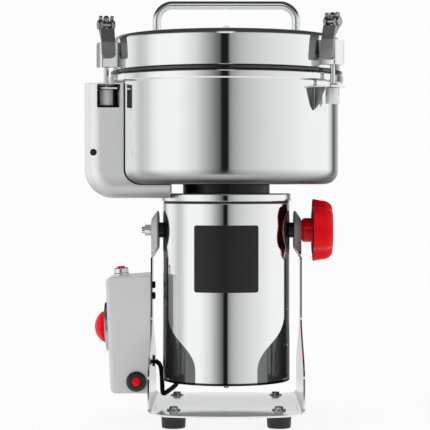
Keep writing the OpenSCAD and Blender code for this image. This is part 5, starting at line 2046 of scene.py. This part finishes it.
@dataclass
class Cover:
    """The cover of the lid switch. Sizes are in millimetres.

    Attributes:
        shop: What it is built with.
        reach: Distance of its outer face from the middle.
        leg: Distance of its leg's end from the middle.
        front: Distance of its front face from the middle.
        back: Distance of its back face behind the middle.
        low: Height of its bottom.
        top: Height of its top.
        corner: Radius of its large corner.
        wall: Thickness of its wall.
        window: Where its window starts and ends across.
        window_h: Height of the window below the top.
        edge: Radius of its front edge.
        gap: Width of the strip between it and the bowl.
        bowl_r: Radius of the bowl.
        bowl_low: Height of the bowl's bottom.
        bowl_corner: Radius of the bowl's bottom corner.
        cap_r: Radius of the room that it leaves for the motor's cap.
        cap_top: Height of that room's top.
        rod_at: Distance of the left clamp's rod from the middle.
        rod_angle: Angle of that rod from the front, in degrees.
        hole_r: Radius of the hole round its nut.
        screw_at: Distance of the cover's screw from the middle, and its height.
    """

    shop: Workshop
    reach: float = 166.0
    leg: float = 65.5
    front: float = 63.0
    back: float = 3.0
    low: float = 265.5
    top: float = 400.0
    corner: float = 34.0
    wall: float = 1.5
    window: tuple[float, float] = (-150.4, -123.6)
    window_h: float = 29.0
    edge: float = 20.0
    gap: float = 1.2
    bowl_r: float = 134.0
    bowl_low: float = 282.0
    bowl_corner: float = 17.0
    cap_r: float = 78.5
    cap_top: float = 271.4
    rod_at: float = 147.5
    rod_angle: float = 73.0
    hole_r: float = 8.3
    screw_at: tuple[float, float] = (155.0, 319.0)

    def outline(self, inset: float, ends: float = 0.0) -> Outline:
        """Front view of the cover's block.

        Args:
            inset: How far its outer side and bottom are drawn in.
            ends: How far its top and its leg's end are drawn in.

        Returns:
            The outline in x and z.
        """
        return filleted([(-self.reach + inset, self.top - ends, 0.8),
                         (-self.reach + inset, self.low + inset, self.corner - inset * 0.9),
                         (-self.leg - ends, self.low + inset, 0.8), (-self.leg - ends, self.top - ends, 0)],
                        closed=True, steps=20)

    def block(self, name: str, inset: float) -> Piece:
        """The cover's block with its round front edge.

        Args:
            name: The piece's name.
            inset: How far all its faces are drawn in.

        Returns:
            The piece.
        """
        rings = []
        for k in range(17):
            angle = math.pi / 2 * k / 16
            more = self.edge * (1 - math.sin(angle))
            depth = self.edge * (1 - math.cos(angle))
            rings.append([Vector((x, -self.front + inset + depth, z))
                          for x, z in self.outline(inset + more, inset)])
        rings.append([Vector((x, self.back - inset, z)) for x, z in self.outline(inset, inset)])
        return self.shop.piece(name).bands(rings)

    def round_bowl(self, name: str, off: float) -> Piece:
        """A solid a little larger than the bowl.

        Args:
            name: The piece's name.
            off: How much larger.

        Returns:
            The piece.
        """
        radius, low, high = self.bowl_r + off, self.bowl_low - off, self.top + 20
        return self.shop.piece(name).spindle([(0, low, 0), (radius, low, self.bowl_corner + off),
                                              (radius, high, 0), (0, high, 0)], steps=256, corner=12)

    def seal(self) -> None:
        """A black strip in the gap between the cover and the bowl: painted shadow of the gap."""
        made = self.round_bowl("cover_seal", self.gap - 0.1)
        made.cut(self.round_bowl("seal_inside", 0.15))
        block = self.block("seal_block", 0.4)
        made.combine("INTERSECT", block)
        # Black rubber finish as painted shadow in the gap.
        made.settle("head", "rubber_black")

    def lining(self) -> None:
        """The dark plate behind the cover's window."""
        made = self.shop.piece("switch_plate")
        left, right = self.window
        low, high = self.top - self.window_h - 8, self.top - 8
        made.prism(rectangle(left - 6, right + 1, low, high), -33, -32, ACROSS)
        made.settle("head", "plastic_black")

    def build(self) -> None:
        """Builds the cover."""
        made = self.block("cover_shell", 0)
        hollow = self.block("cover_hollow", self.wall)
        bowl = self.round_bowl("bowl_tool", self.gap)
        cap = self.shop.piece("cap_tool").cylinder(self.cap_r, self.low - 15.5, self.cap_top)
        window = self.shop.piece("window_tool")
        low, high = self.top - self.window_h, self.top - self.wall
        left, right = self.window
        opening = filleted([(left, low, 1.2), (left, high, 1.2), (right, high, 1.2), (right, low, 1.2)],
                           closed=True, steps=4)
        window.prism(opening, -self.front - 2, -self.front + 4, ACROSS)
        angle = math.radians(self.rod_angle)
        rod = (-self.rod_at * math.sin(angle), -self.rod_at * math.cos(angle))
        hole = self.shop.piece("nut_hole").prism(circle(self.hole_r, 64, *rod), self.top - 4, self.top + 4)
        place, height = self.screw_at
        turn = math.asin((place - self.reach + self.edge) / self.edge)
        depth = -self.front + self.edge * (1 - math.cos(turn))
        seat = (Matrix.Translation((-place, depth, height)) @ Matrix.Rotation(-turn, 4, "Z")
                @ ONTO_FRONT)
        sink = seat @ Matrix.Translation((0, 0, -3.4))
        screw = self.shop.piece("screw_hole")
        screw.lathe([(0, -4), (5, -4), (5, -0.2), (3.4, 1.2), (3.4, 6), (0, 6)], sink, 48)
        made.cut(hollow, bowl, cap, window, hole, screw)
        # The cover's finish paints shade towards its bottom.
        made.settle("head", "steel_satin", "switch_cover", crease=38, even=True)
        head = self.shop.piece("cover_screw_head")
        head.spindle([(0, -3, 0), (4.7, -3, 0), (4.7, 0.2, 1.4), (0, 0.2, 0)], seat, 48)
        slot = self.shop.piece("driver_slot").prism(rectangle(-3.2, 3.2, -0.4, 0.4), -1, 2,
                                                    seat @ Matrix.Rotation(0.5, 4, "Z"))
        head.cut(slot)
        head.settle("head", "screw_steel", "cover_screw", look="screw_black")
        self.seal()
        self.lining()


# The control box


@dataclass
class ControlBox:
    """The control box with its timer, button, cut-out and gland. Sizes are in millimetres.

    Attributes:
        shop: What it is built with.
        arm: Distance of the arm's outer face from the middle.
        widths: Width at the top and at the bottom.
        heights: Height of its bottom and of its top at the arm.
        drop: How much lower its top is at the outer side.
        depths: Place of its front and its back face.
        edge: Radius of its edges.
        timer: Depth and height of the timer's middle.
        dial_r: Radius of the dial.
        dial_t: Thickness of the dial.
        knob_r: Radius of the timer knob.
        button_off: Distance of the button from the arm.
        reset_at: Distance of the reset button from the arm, and its height.
        gland_at: Distance of the gland from the arm, and its height.
        minutes: Number of the dial's numbers, and the minutes between them.
        minute_turn: Angle of a minute on the dial, in degrees.
        number_r: Distance of the numbers from the dial's middle.
        number_h: Height of the numbers.
        raised: Half of what the numbers stand out.
    """

    shop: Workshop
    arm: float = 90.0
    widths: tuple[float, float] = (53.0, 47.0)
    heights: tuple[float, float] = (34.0, 174.6)
    drop: float = 3.7
    depths: tuple[float, float] = (-32.0, 52.0)
    edge: float = 6.0
    timer: tuple[float, float] = (8.0, 110.7)
    dial_r: float = 29.5
    dial_t: float = 4.6
    knob_r: float = 18.0
    button_off: float = 36.0
    reset_at: tuple[float, float] = (16.2, 48.7)
    gland_at: tuple[float, float] = (24.0, 62.0)
    minutes: tuple[int, int] = (7, 5)
    minute_turn: float = 9.0
    number_r: float = 26.3
    number_h: float = 4.2
    raised: float = 0.04

    @property
    def lean(self) -> float:
        """Lean of the outer face, in radians."""
        return math.atan((self.widths[0] - self.widths[1])
                         / (self.heights[1] - self.heights[0] - self.drop - 2 * self.edge))

    @property
    def slope(self) -> float:
        """Slope of the top, in radians."""
        run, fall = self.widths[0] - 2 * self.edge, self.drop + self.edge
        return math.atan(fall / run) - math.asin(self.edge / math.hypot(run, fall))

    def timer_place(self) -> Matrix:
        """The frame of the timer's dial, with its Z axis outwards."""
        up = self.timer[1] - self.heights[0] - self.edge + self.edge * math.sin(self.lean)
        foot = self.arm + self.widths[1] - self.edge
        face = foot + up * math.tan(self.lean) + self.edge * math.cos(self.lean)
        return (Matrix.Translation((-face, self.timer[0], self.timer[1]))
                @ Matrix.Rotation(-math.pi / 2 - self.lean, 4, "Y"))

    def button_place(self) -> Matrix:
        """The frame of the power button, with its Z axis out of the sloping top."""
        z = self.heights[1] - (self.button_off - self.edge) * math.tan(self.slope)
        return (Matrix.Translation((-self.arm - self.button_off, self.timer[0], z))
                @ Matrix.Rotation(-self.slope, 4, "Y"))

    def case(self) -> None:
        """The painted case: a tapered block with rounded edges away from the arm."""
        made = self.shop.piece("box_case")
        low, high = self.heights
        front, back = self.depths
        arm, top, bottom = -self.arm, -self.arm - self.widths[0], -self.arm - self.widths[1]
        fall = self.edge * math.tan(self.lean / 2)
        corners = [(arm, low), (bottom - fall * 0.4, low), (top - 0.05, high - self.drop), (arm, high)]
        rings = [[Vector((x, y, z)) for x, z in corners] for y in (front, back)]
        made.bands(rings)
        work = made.shape
        bmesh.ops.recalc_face_normals(work, faces=work.faces)
        round_edges = [e for e in work.edges if not all(abs(v.co.x - arm) < 0.01 for v in e.verts)]
        bmesh.ops.bevel(work, geom=round_edges, offset=self.edge, segments=8, profile=0.5, affect="EDGES",
                        clamp_overlap=True)
        made.settle("stand", "box_grey", "control_box", crease=45, even=True)

    def dial(self) -> None:
        """The timer's dial with its ticks and plain minute numbers."""
        place = self.timer_place()
        made = self.shop.piece("dial")
        made.hoop([(3.3, 0, 0), (self.dial_r, 0, 0.3), (self.dial_r, self.dial_t, 1.4),
                   (3.3, self.dial_t, 0)], place, 128)
        made.settle("stand", "plastic_grey", "timer_dial_ring")
        ticks = self.shop.piece("dial_ticks")
        ticks.prism(rectangle(22.2, 24.0, -0.2, 0.2), 0, 0.08)
        self.shop.copies(ticks, "plastic_black", 31, -self.minute_turn)
        start = Matrix.Rotation(math.pi, 4, "Z")
        ticks.move(place @ Matrix.Translation((0, 0, self.dial_t)) @ start)
        ticks.settle("stand", "plastic_black")
        made = self.shop.piece("dial_numbers")
        count, step = self.minutes
        for k in range(count):
            curve = bpy.data.curves.new("number", "FONT")
            curve.body = str(step * k)
            curve.size = self.number_h
            curve.align_x = "CENTER"
            curve.align_y = "CENTER"
            curve.extrude = self.raised
            holder = bpy.data.objects.new("number", curve)
            bpy.context.scene.collection.objects.link(holder)
            ready = holder.evaluated_get(bpy.context.evaluated_depsgraph_get())
            mesh = bpy.data.meshes.new_from_object(ready)
            turn = Matrix.Rotation(math.pi - math.radians(self.minute_turn * step * k), 4, "Z")
            outwards = Matrix.Translation((self.number_r, 0, 0)) @ Matrix.Rotation(-math.pi / 2, 4, "Z")
            mesh.transform(place @ Matrix.Translation((0, 0, self.dial_t + self.raised)) @ turn @ outwards)
            made.shape.from_mesh(mesh)
            bpy.data.objects.remove(holder)
            bpy.data.curves.remove(curve)
        made.settle("stand", "plastic_black")

    def timer_knob(self) -> None:
        """The timer's domed knob with its skirt and pointer groove."""
        low = self.dial_t + 0.3
        made = self.shop.piece("timer_turn_knob")
        rise = 9.0
        ball = (self.knob_r ** 2 + rise ** 2) / (2 * rise)
        sweep = math.asin(self.knob_r / ball)
        dome = [(ball * math.sin(sweep * (1 - k / 16)),
                 low + 4 + rise - ball + ball * math.cos(sweep * (1 - k / 16))) for k in range(16)]
        skirt = filleted([(0.01, low, 0), (18.8, low, 0.5), (18.5, low + 3.2, 0.8), (17.2, low + 3.8, 0.3),
                          (self.knob_r - 0.05, low + 4.4, 0)], steps=4)
        made.lathe([(0, low), *skirt[1:], *dome[1:], (0, low + 13)], steps=128)
        groove = self.shop.piece("pointer").prism(rectangle(-1, 1, 1.5, 20), low + 12.2, low + 16)
        made.cut(groove)
        made.move(self.timer_place())
        made.settle("timer_knob", "plastic_red", "timer_knob")

    def power(self) -> None:
        """The power button in its bezel."""
        place = self.button_place()
        bezel = self.shop.piece("button_collar")
        bezel.hoop([(4.85, -10, 0), (8, -10, 0), (8, 0, 0), (9.5, 0, 0.3), (9.5, 3.0, 0.5), (8.6, 3.6, 0.4),
                    (8.6, 9.8, 1.6), (5.6, 9.8, 0.3), (4.85, 9.0, 0.2)], place, 96, corner=6)
        bezel.settle("stand", "chrome", "button_bezel")
        cap = self.shop.piece("button_cap")
        cap.spindle([(0, 5.4, 0), (4.75, 5.4, 0), (4.75, 11.6, 1.4), (0, 11.8, 0)], place, 64)
        cap.settle("power_button", "plastic_red", "power_button")

    def reset(self) -> None:
        """The overload cut-out with its reset button."""
        off, height = self.reset_at
        place = (Matrix.Translation((-self.arm - off, self.depths[0], height))
                 @ ONTO_FRONT)
        boot = self.shop.piece("cutout_boot")
        boot.hoop([(5.05, -6, 0), (9.5, -6, 0), (9.5, 0, 0), (12, 0, 0.3), (12, 2.6, 1.8), (9.2, 4.5, 1.2),
                   (5.05, 4.5, 0.5)], place, 96)
        boot.settle("stand", "plastic_black", "reset_boot")
        cap = self.shop.piece("cutout_cap")
        cap.spindle([(0, -4, 0), (5, -4, 0), (5, 7.3, 1.6), (0, 7.5, 0)], place, 64)
        cap.settle("reset_button", "plastic_red", "reset_button")

    def gland(self) -> None:
        """The gland for the mains cord on the back."""
        off, height = self.gland_at
        place = (Matrix.Translation((-self.arm - off, self.depths[1], height))
                 @ Matrix.Rotation(-math.pi / 2, 4, "X"))
        made = self.shop.piece("gland")
        made.hoop([(3.8, -3, 0), (5, -3, 0), (5, 0, 0), (12, 0, 0.4), (12, 3, 0.8), (9, 3, 0.3),
                   (8.6, 8, 0.2), (7.9, 8.4, 0.2), (6.2, 15, 1.2), (3.8, 15, 0.4)], place, 72, corner=5)
        flutes = self.shop.piece("flute").prism(circle(0.7, 12, 8.9, 0), 3.4, 9)
        self.shop.copies(flutes, "plastic_black", 18, 20)
        flutes.move(place)
        made.cut(flutes)
        made.settle("stand", "plastic_black", "cord_gland")

    def build(self) -> None:
        """Builds the box and what it carries."""
        self.case()
        self.dial()
        self.timer_knob()
        self.power()
        self.reset()
        self.gland()


# The tilt knob


@dataclass
class TiltKnob:
    """The lobed knob that locks the tilt. Sizes are in millimetres.

    Attributes:
        shop: What it is built with.
        inner: Distance of its hub's inner face from the middle.
        pivot_z: Height of the tilt axis.
        hub_r: Radius of its hub.
        hub_len: Length of its hub.
        radius: Radius over its lobes.
        thick: Thickness of its head.
        face_r: Radius of its outer face.
        lobes: Number of lobes.
        turn: Angle of a lobe from straight down, in degrees.
        valley: Depth of the valleys between lobes.
        side: Height of the lobes' straight side.
        bore: Radius of the hole for the stud.
        bore_len: Depth of that hole.
    """

    shop: Workshop
    inner: float = 90.3
    pivot_z: float = 227.0
    hub_r: float = 14.5
    hub_len: float = 13.2
    radius: float = 37.5
    thick: float = 23.5
    face_r: float = 26.0
    lobes: int = 6
    turn: float = -7.0
    valley: float = 6.0
    side: float = 11.0
    bore: float = 4.05
    bore_len: float = 11.0

    def dip(self, angle: float) -> float:
        """How deep the outline is below the lobes' circle.

        Args:
            angle: Angle about the knob's axis.

        Returns:
            The depth at the widest ring.
        """
        phase = self.lobes * (angle - math.radians(self.turn))
        wave = 0.5 - 0.5 * math.cos(phase)
        return self.valley * wave ** 1.6

    def build(self) -> None:
        """Builds the knob."""
        made = self.shop.piece("tilt_hand_knob")
        place = along(self.inner, self.pivot_z, 1)
        base = self.hub_len
        wide, rise = self.radius - 2 - self.face_r, self.thick - self.side
        crown = [(self.face_r + wide * math.cos(a), base + self.side + rise * math.sin(a))
                 for a in (math.pi / 2 * k / 16 for k in range(17))]
        profile = [*filleted([(self.hub_r, base, 0), (self.radius, base, 0.8),
                              (self.radius - 2, base + self.side, 0)])[:-1], *crown,
                   (0.01, base + self.thick)]
        steps = 240
        rings = []
        hub = filleted([(self.bore, 0, 0), (self.hub_r, 0, 3.6), (self.hub_r, base, 0)], steps=8)
        for radius, z in hub[:-1]:
            rings.append([place @ Vector((x, y, z)) for x, y in circle(radius, steps)])
        for radius, z in supported(profile, 0.5):
            share = min(max((radius - self.hub_r) / (self.radius - self.hub_r), 0.0), 1.0) ** 1.4
            rings.append(ring_of(place, z, steps, lambda a, r=radius, s=share: r - self.dip(a) * s))
        rings[-1] = [place @ Vector((0, 0, base + self.thick))]
        rings.insert(0, [place @ Vector((x, y, self.bore_len)) for x, y in circle(self.bore, steps)])
        rings.insert(0, [place @ Vector((0, 0, self.bore_len))])
        made.bands(rings)
        made.settle("tilt_knob", "plastic_red", "tilt_knob", crease=50)
        self.back_plate(place)

    def back_plate(self, place: Matrix) -> None:
        """A dark sheet over the back of the knob's head: painted shade where the head's back faces the motor.

        Args:
            place: The knob's frame.
        """
        made = self.shop.piece("knob_back_plate")
        rings = []
        for radius, z in ((self.hub_r + 0.4, 0.1), (self.hub_r + 0.4, -0.2), (self.radius - 1.2, -0.2),
                          (self.radius - 0.8, 0.1)):
            lobed = radius > self.hub_r + 1
            rings.append(ring_of(place, self.hub_len + z, 180,
                                 lambda a, r=radius, s=lobed: r - (self.dip(a) if s else 0)))
        made.bands(rings, closed=True)
        # Dark red finish as painted shade on the knob's back.
        made.settle("tilt_knob", "plastic_black", look="plastic_dim")


# The studio


@dataclass
class Studio:
    """A pale studio: what is round the mill, the floor, the lamps and the camera.

    A ramp is a slope and a start, whose result is kept between 0 and 1. The ceiling's and the lit panel's
    ramps go by the upward part of the way looked in, and panel_sides by the share of a full turn away
    from straight ahead.

    Attributes:
        walls: Bearing from the camera's side in degrees, left being negative, and brightness there.
        ceiling: Brightness of the ceiling in mirror images.
        ceiling_light: Brightness of the ceiling as it lights matt surfaces.
        ceiling_edge: Ramp of the ceiling's lower edge.
        panel: Brightness of the lit part of the ceiling ahead of the mill.
        panel_sides: Ramp of that part's sides.
        panel_edges: Ramps of its upper and lower edge.
        paper: Brightness of the backdrop.
        room_share: Strength of the room's light.
        floor_r: Radius of the floor in metres.
        floor_fade: Share of that radius where the floor starts to fade out.
        floor_spare: How much larger than that radius its mesh is.
        floor_tint: Brightness of the floor's own colour.
        floor_glow: Share of the floor's colour that shadows leave alone.
        boxes: Name, place in metres, size and power of each lamp.
        aim: Height in metres of what the lamps are aimed at.
        camera_at: Place of the camera in metres.
        lens: Focal length of the camera in millimetres.
        shift: Shift of the lens across and up.
        far: How far the camera sees, in metres.
    """

    walls: tuple[tuple[float, float], ...] = ((-180, 0.88), (-146, 0.3), (-139, 0.75), (-125, 0.97),
                                              (-108, 0.81), (-97, 0.6), (-88, 0.68), (-79, 0.9), (-71, 1.0),
                                              (-50, 1.0), (-43, 0.93), (-30, 0.74), (-22, 0.51), (-14, 0.3),
                                              (-10, 0.19), (-6, 0.12), (-5.2, 0.012), (2.4, 0.012),
                                              (3.2, 0.27), (7.6, 0.386), (13.6, 0.51), (23.6, 0.625),
                                              (42.6, 0.76), (63, 0.85), (87, 0.97), (126, 1.0), (134, 0.69),
                                              (139, 0.3), (144.5, 0.06), (148, 0.24), (155, 0.42),
                                              (180, 0.88))
    ceiling: float = 0.05
    ceiling_light: float = 0.93
    ceiling_edge: tuple[float, float] = (3.4, -0.7)
    panel: float = 0.85
    panel_sides: tuple[float, float] = (-60.0, 2.0)
    panel_edges: tuple[tuple[float, float], ...] = ((-4.0, 3.0), (14.0, -1.55))
    paper: float = 0.975
    room_share: float = 1.0
    floor_r: float = 0.48
    floor_fade: float = 0.7
    floor_spare: float = 1.5
    floor_tint: float = 0.93
    floor_glow: float = 0.88
    boxes: tuple[tuple[str, tuple[float, float, float], float, float], ...] = (
        ("key", (-1.6, -1.2, 1.9), 1.2, 9.0), ("top", (0.3, 0.4, 2.4), 1.6, 8.0))
    aim: float = 0.25
    camera_at: tuple[float, float, float] = (0.013, -2.04, 0.275)
    lens: float = 142.3
    shift: tuple[float, float] = (-0.0263, -0.0581)
    far: float = 20.0

    def world(self) -> None:
        """The room: white to the camera, and graded by bearing for everything else."""
        world = bpy.data.worlds.new("studio_room")
        bpy.context.scene.world = world
        world.use_nodes = True
        world.node_tree.nodes.clear()
        room = Graph(world.node_tree)
        way = room.split(room.add("ShaderNodeTexCoord").outputs["Generated"])
        bearing = room.calc("ARCTAN2", way["X"], room.calc("MULTIPLY", way["Y"], -1.0))
        share = room.calc("MULTIPLY_ADD", bearing, 1 / (2 * math.pi), 0.5)
        walls = self.graded_walls(room, share)
        ray = room.add("ShaderNodeLightPath").outputs
        up = room.calc("MULTIPLY_ADD", way["Z"], *self.ceiling_edge, clamp=True)
        over = room.calc("MULTIPLY_ADD", ray["Is Diffuse Ray"], self.ceiling_light - self.ceiling,
                         self.ceiling)
        kept = room.calc("MULTIPLY", room.calc("SUBTRACT", 1.0, up), walls)
        level = room.calc("MULTIPLY_ADD", up, over, kept)
        level = room.calc("MAXIMUM", level, self.lit_panel(room, way["Z"], share))
        lit = room.add("ShaderNodeBackground", {"Strength": self.room_share, "Color": level})
        plain = room.add("ShaderNodeBackground", {"Strength": 1.0, "Color": grey(self.paper)})
        chosen = room.mixed(ray["Is Camera Ray"], lit, plain)
        room.add("ShaderNodeOutputWorld", {"Surface": chosen.outputs[0]})

    def graded_walls(self, room: Graph, share: bpy.types.NodeSocket) -> bpy.types.NodeSocket:
        """Brightness of the walls.

        Args:
            room: The world's tree.
            share: Bearing as a share of a full turn, 0.5 being straight ahead.

        Returns:
            The brightness's socket.
        """
        ramp = room.add("ShaderNodeValToRGB", {"Fac": share})
        ramp.color_ramp.interpolation = "LINEAR"
        stops = ramp.color_ramp.elements
        while len(stops) < len(self.walls):
            stops.new(0.5)
        for stop, (angle, level) in zip(stops, self.walls):
            stop.position = (angle + 180) / 360
            stop.color = grey(level)
        return ramp.outputs["Color"]

    def lit_panel(self, room: Graph, upward: bpy.types.NodeSocket,
                  share: bpy.types.NodeSocket) -> bpy.types.NodeSocket:
        """Brightness of the lit part of the ceiling.

        Args:
            room: The world's tree.
            upward: Upward part of the way looked in.
            share: Bearing as a share of a full turn, 0.5 being straight ahead.

        Returns:
            The brightness's socket.
        """
        aside = room.calc("ABSOLUTE", room.calc("SUBTRACT", share, 0.5))
        panel = room.calc("MULTIPLY_ADD", aside, *self.panel_sides, clamp=True)
        edges = [room.calc("MULTIPLY_ADD", upward, *edge, clamp=True) for edge in self.panel_edges]
        return room.calc("MULTIPLY", room.calc("MULTIPLY", panel, room.calc("MULTIPLY", *edges)), self.panel)

    def floor(self) -> None:
        """A pale round floor that keeps a soft shadow and fades out at its edge."""
        shape = bmesh.new()
        bmesh.ops.create_circle(shape, cap_ends=True, radius=self.floor_r * self.floor_spare, segments=96)
        mesh = bpy.data.meshes.new("studio_floor")
        shape.to_mesh(mesh)
        shape.free()
        obj = bpy.data.objects.new("studio_floor", mesh)
        bpy.context.scene.collection.objects.link(obj)
        made = bpy.data.materials.new("studio_floor")
        made.use_nodes = True
        made.node_tree.nodes.clear()
        paint = Graph(made.node_tree)
        white = paint.add("ShaderNodeBsdfDiffuse", {"Color": grey(self.floor_tint)})
        glow = paint.add("ShaderNodeEmission", {"Color": grey(self.paper)})
        ray = paint.add("ShaderNodeLightPath").outputs
        seen = paint.calc("MAXIMUM", ray["Is Camera Ray"], ray["Is Glossy Ray"])
        seen = paint.calc("MAXIMUM", seen, ray["Is Transmission Ray"])
        lit = paint.mixed(paint.calc("MULTIPLY", seen, self.floor_glow), white, glow)
        place = paint.add("ShaderNodeTexCoord").outputs["Object"]
        far = paint.add("ShaderNodeVectorMath", {0: place}, operation="LENGTH").outputs["Value"]
        feeds = {"From Min": self.floor_r * self.floor_fade, "From Max": self.floor_r, "Value": far}
        fade = paint.add("ShaderNodeMapRange", feeds, interpolation_type="SMOOTHSTEP").outputs["Result"]
        faded = paint.mixed(fade, lit, paint.add("ShaderNodeBsdfTransparent"))
        paint.add("ShaderNodeOutputMaterial", {"Surface": faded.outputs[0]})
        mesh.materials.append(made)

    def lamps(self) -> None:
        """Two soft boxes that add a little shape to the matt pieces."""
        for name, place, size, power in self.boxes:
            light = bpy.data.lights.new(name, "AREA")
            light.size = size
            light.energy = power
            lamp = bpy.data.objects.new(name, light)
            lamp.location = place
            aim = Vector((0, 0, self.aim)) - Vector(place)
            lamp.rotation_euler = aim.to_track_quat("-Z", "Y").to_euler()
            lamp.visible_glossy = False
            bpy.context.scene.collection.objects.link(lamp)

    def camera(self) -> None:
        """The level camera in front of the mill."""
        data = bpy.data.cameras.new("front_camera")
        data.lens = self.lens
        data.shift_x, data.shift_y = self.shift
        data.clip_end = self.far
        holder = bpy.data.objects.new("front_camera", data)
        holder.location = self.camera_at
        holder.rotation_euler = (math.pi / 2, 0, 0)
        bpy.context.scene.collection.objects.link(holder)
        bpy.context.scene.camera = holder

    def build(self) -> None:
        """Builds the studio."""
        self.world()
        self.floor()
        self.lamps()
        self.camera()
        bpy.context.scene.view_settings.view_transform = "Standard"


# The whole


def dress_frame(frame: dict, dresser: Dresser) -> None:
    """Gives the frame's own nodes their finishes.

    Args:
        frame: The loaded frame.
        dresser: What hands out the finishes.
    """
    for node in frame["nodes"].values():
        for slot in node.material_slots:
            name = slot.material.name.split(".")[0]
            if name in FINISHES:
                slot.material = dresser.of(name)
            else:
                LOG.warning("%s keeps %s", node.name, name)


def main() -> None:
    """Builds the scene."""
    logging.basicConfig(level=logging.INFO, format="%(name)s: %(message)s")
    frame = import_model()
    shop = Workshop()
    studio = Studio()
    studio.build()
    for part in (Stand(shop), Motor(shop), Bowl(shop), Lid(shop), Clamps(shop), Cover(shop), ControlBox(shop),
                 TiltKnob(shop)):
        part.build()
    dress_frame(frame, shop.dresser)


if __name__ == "__main__":
    main()
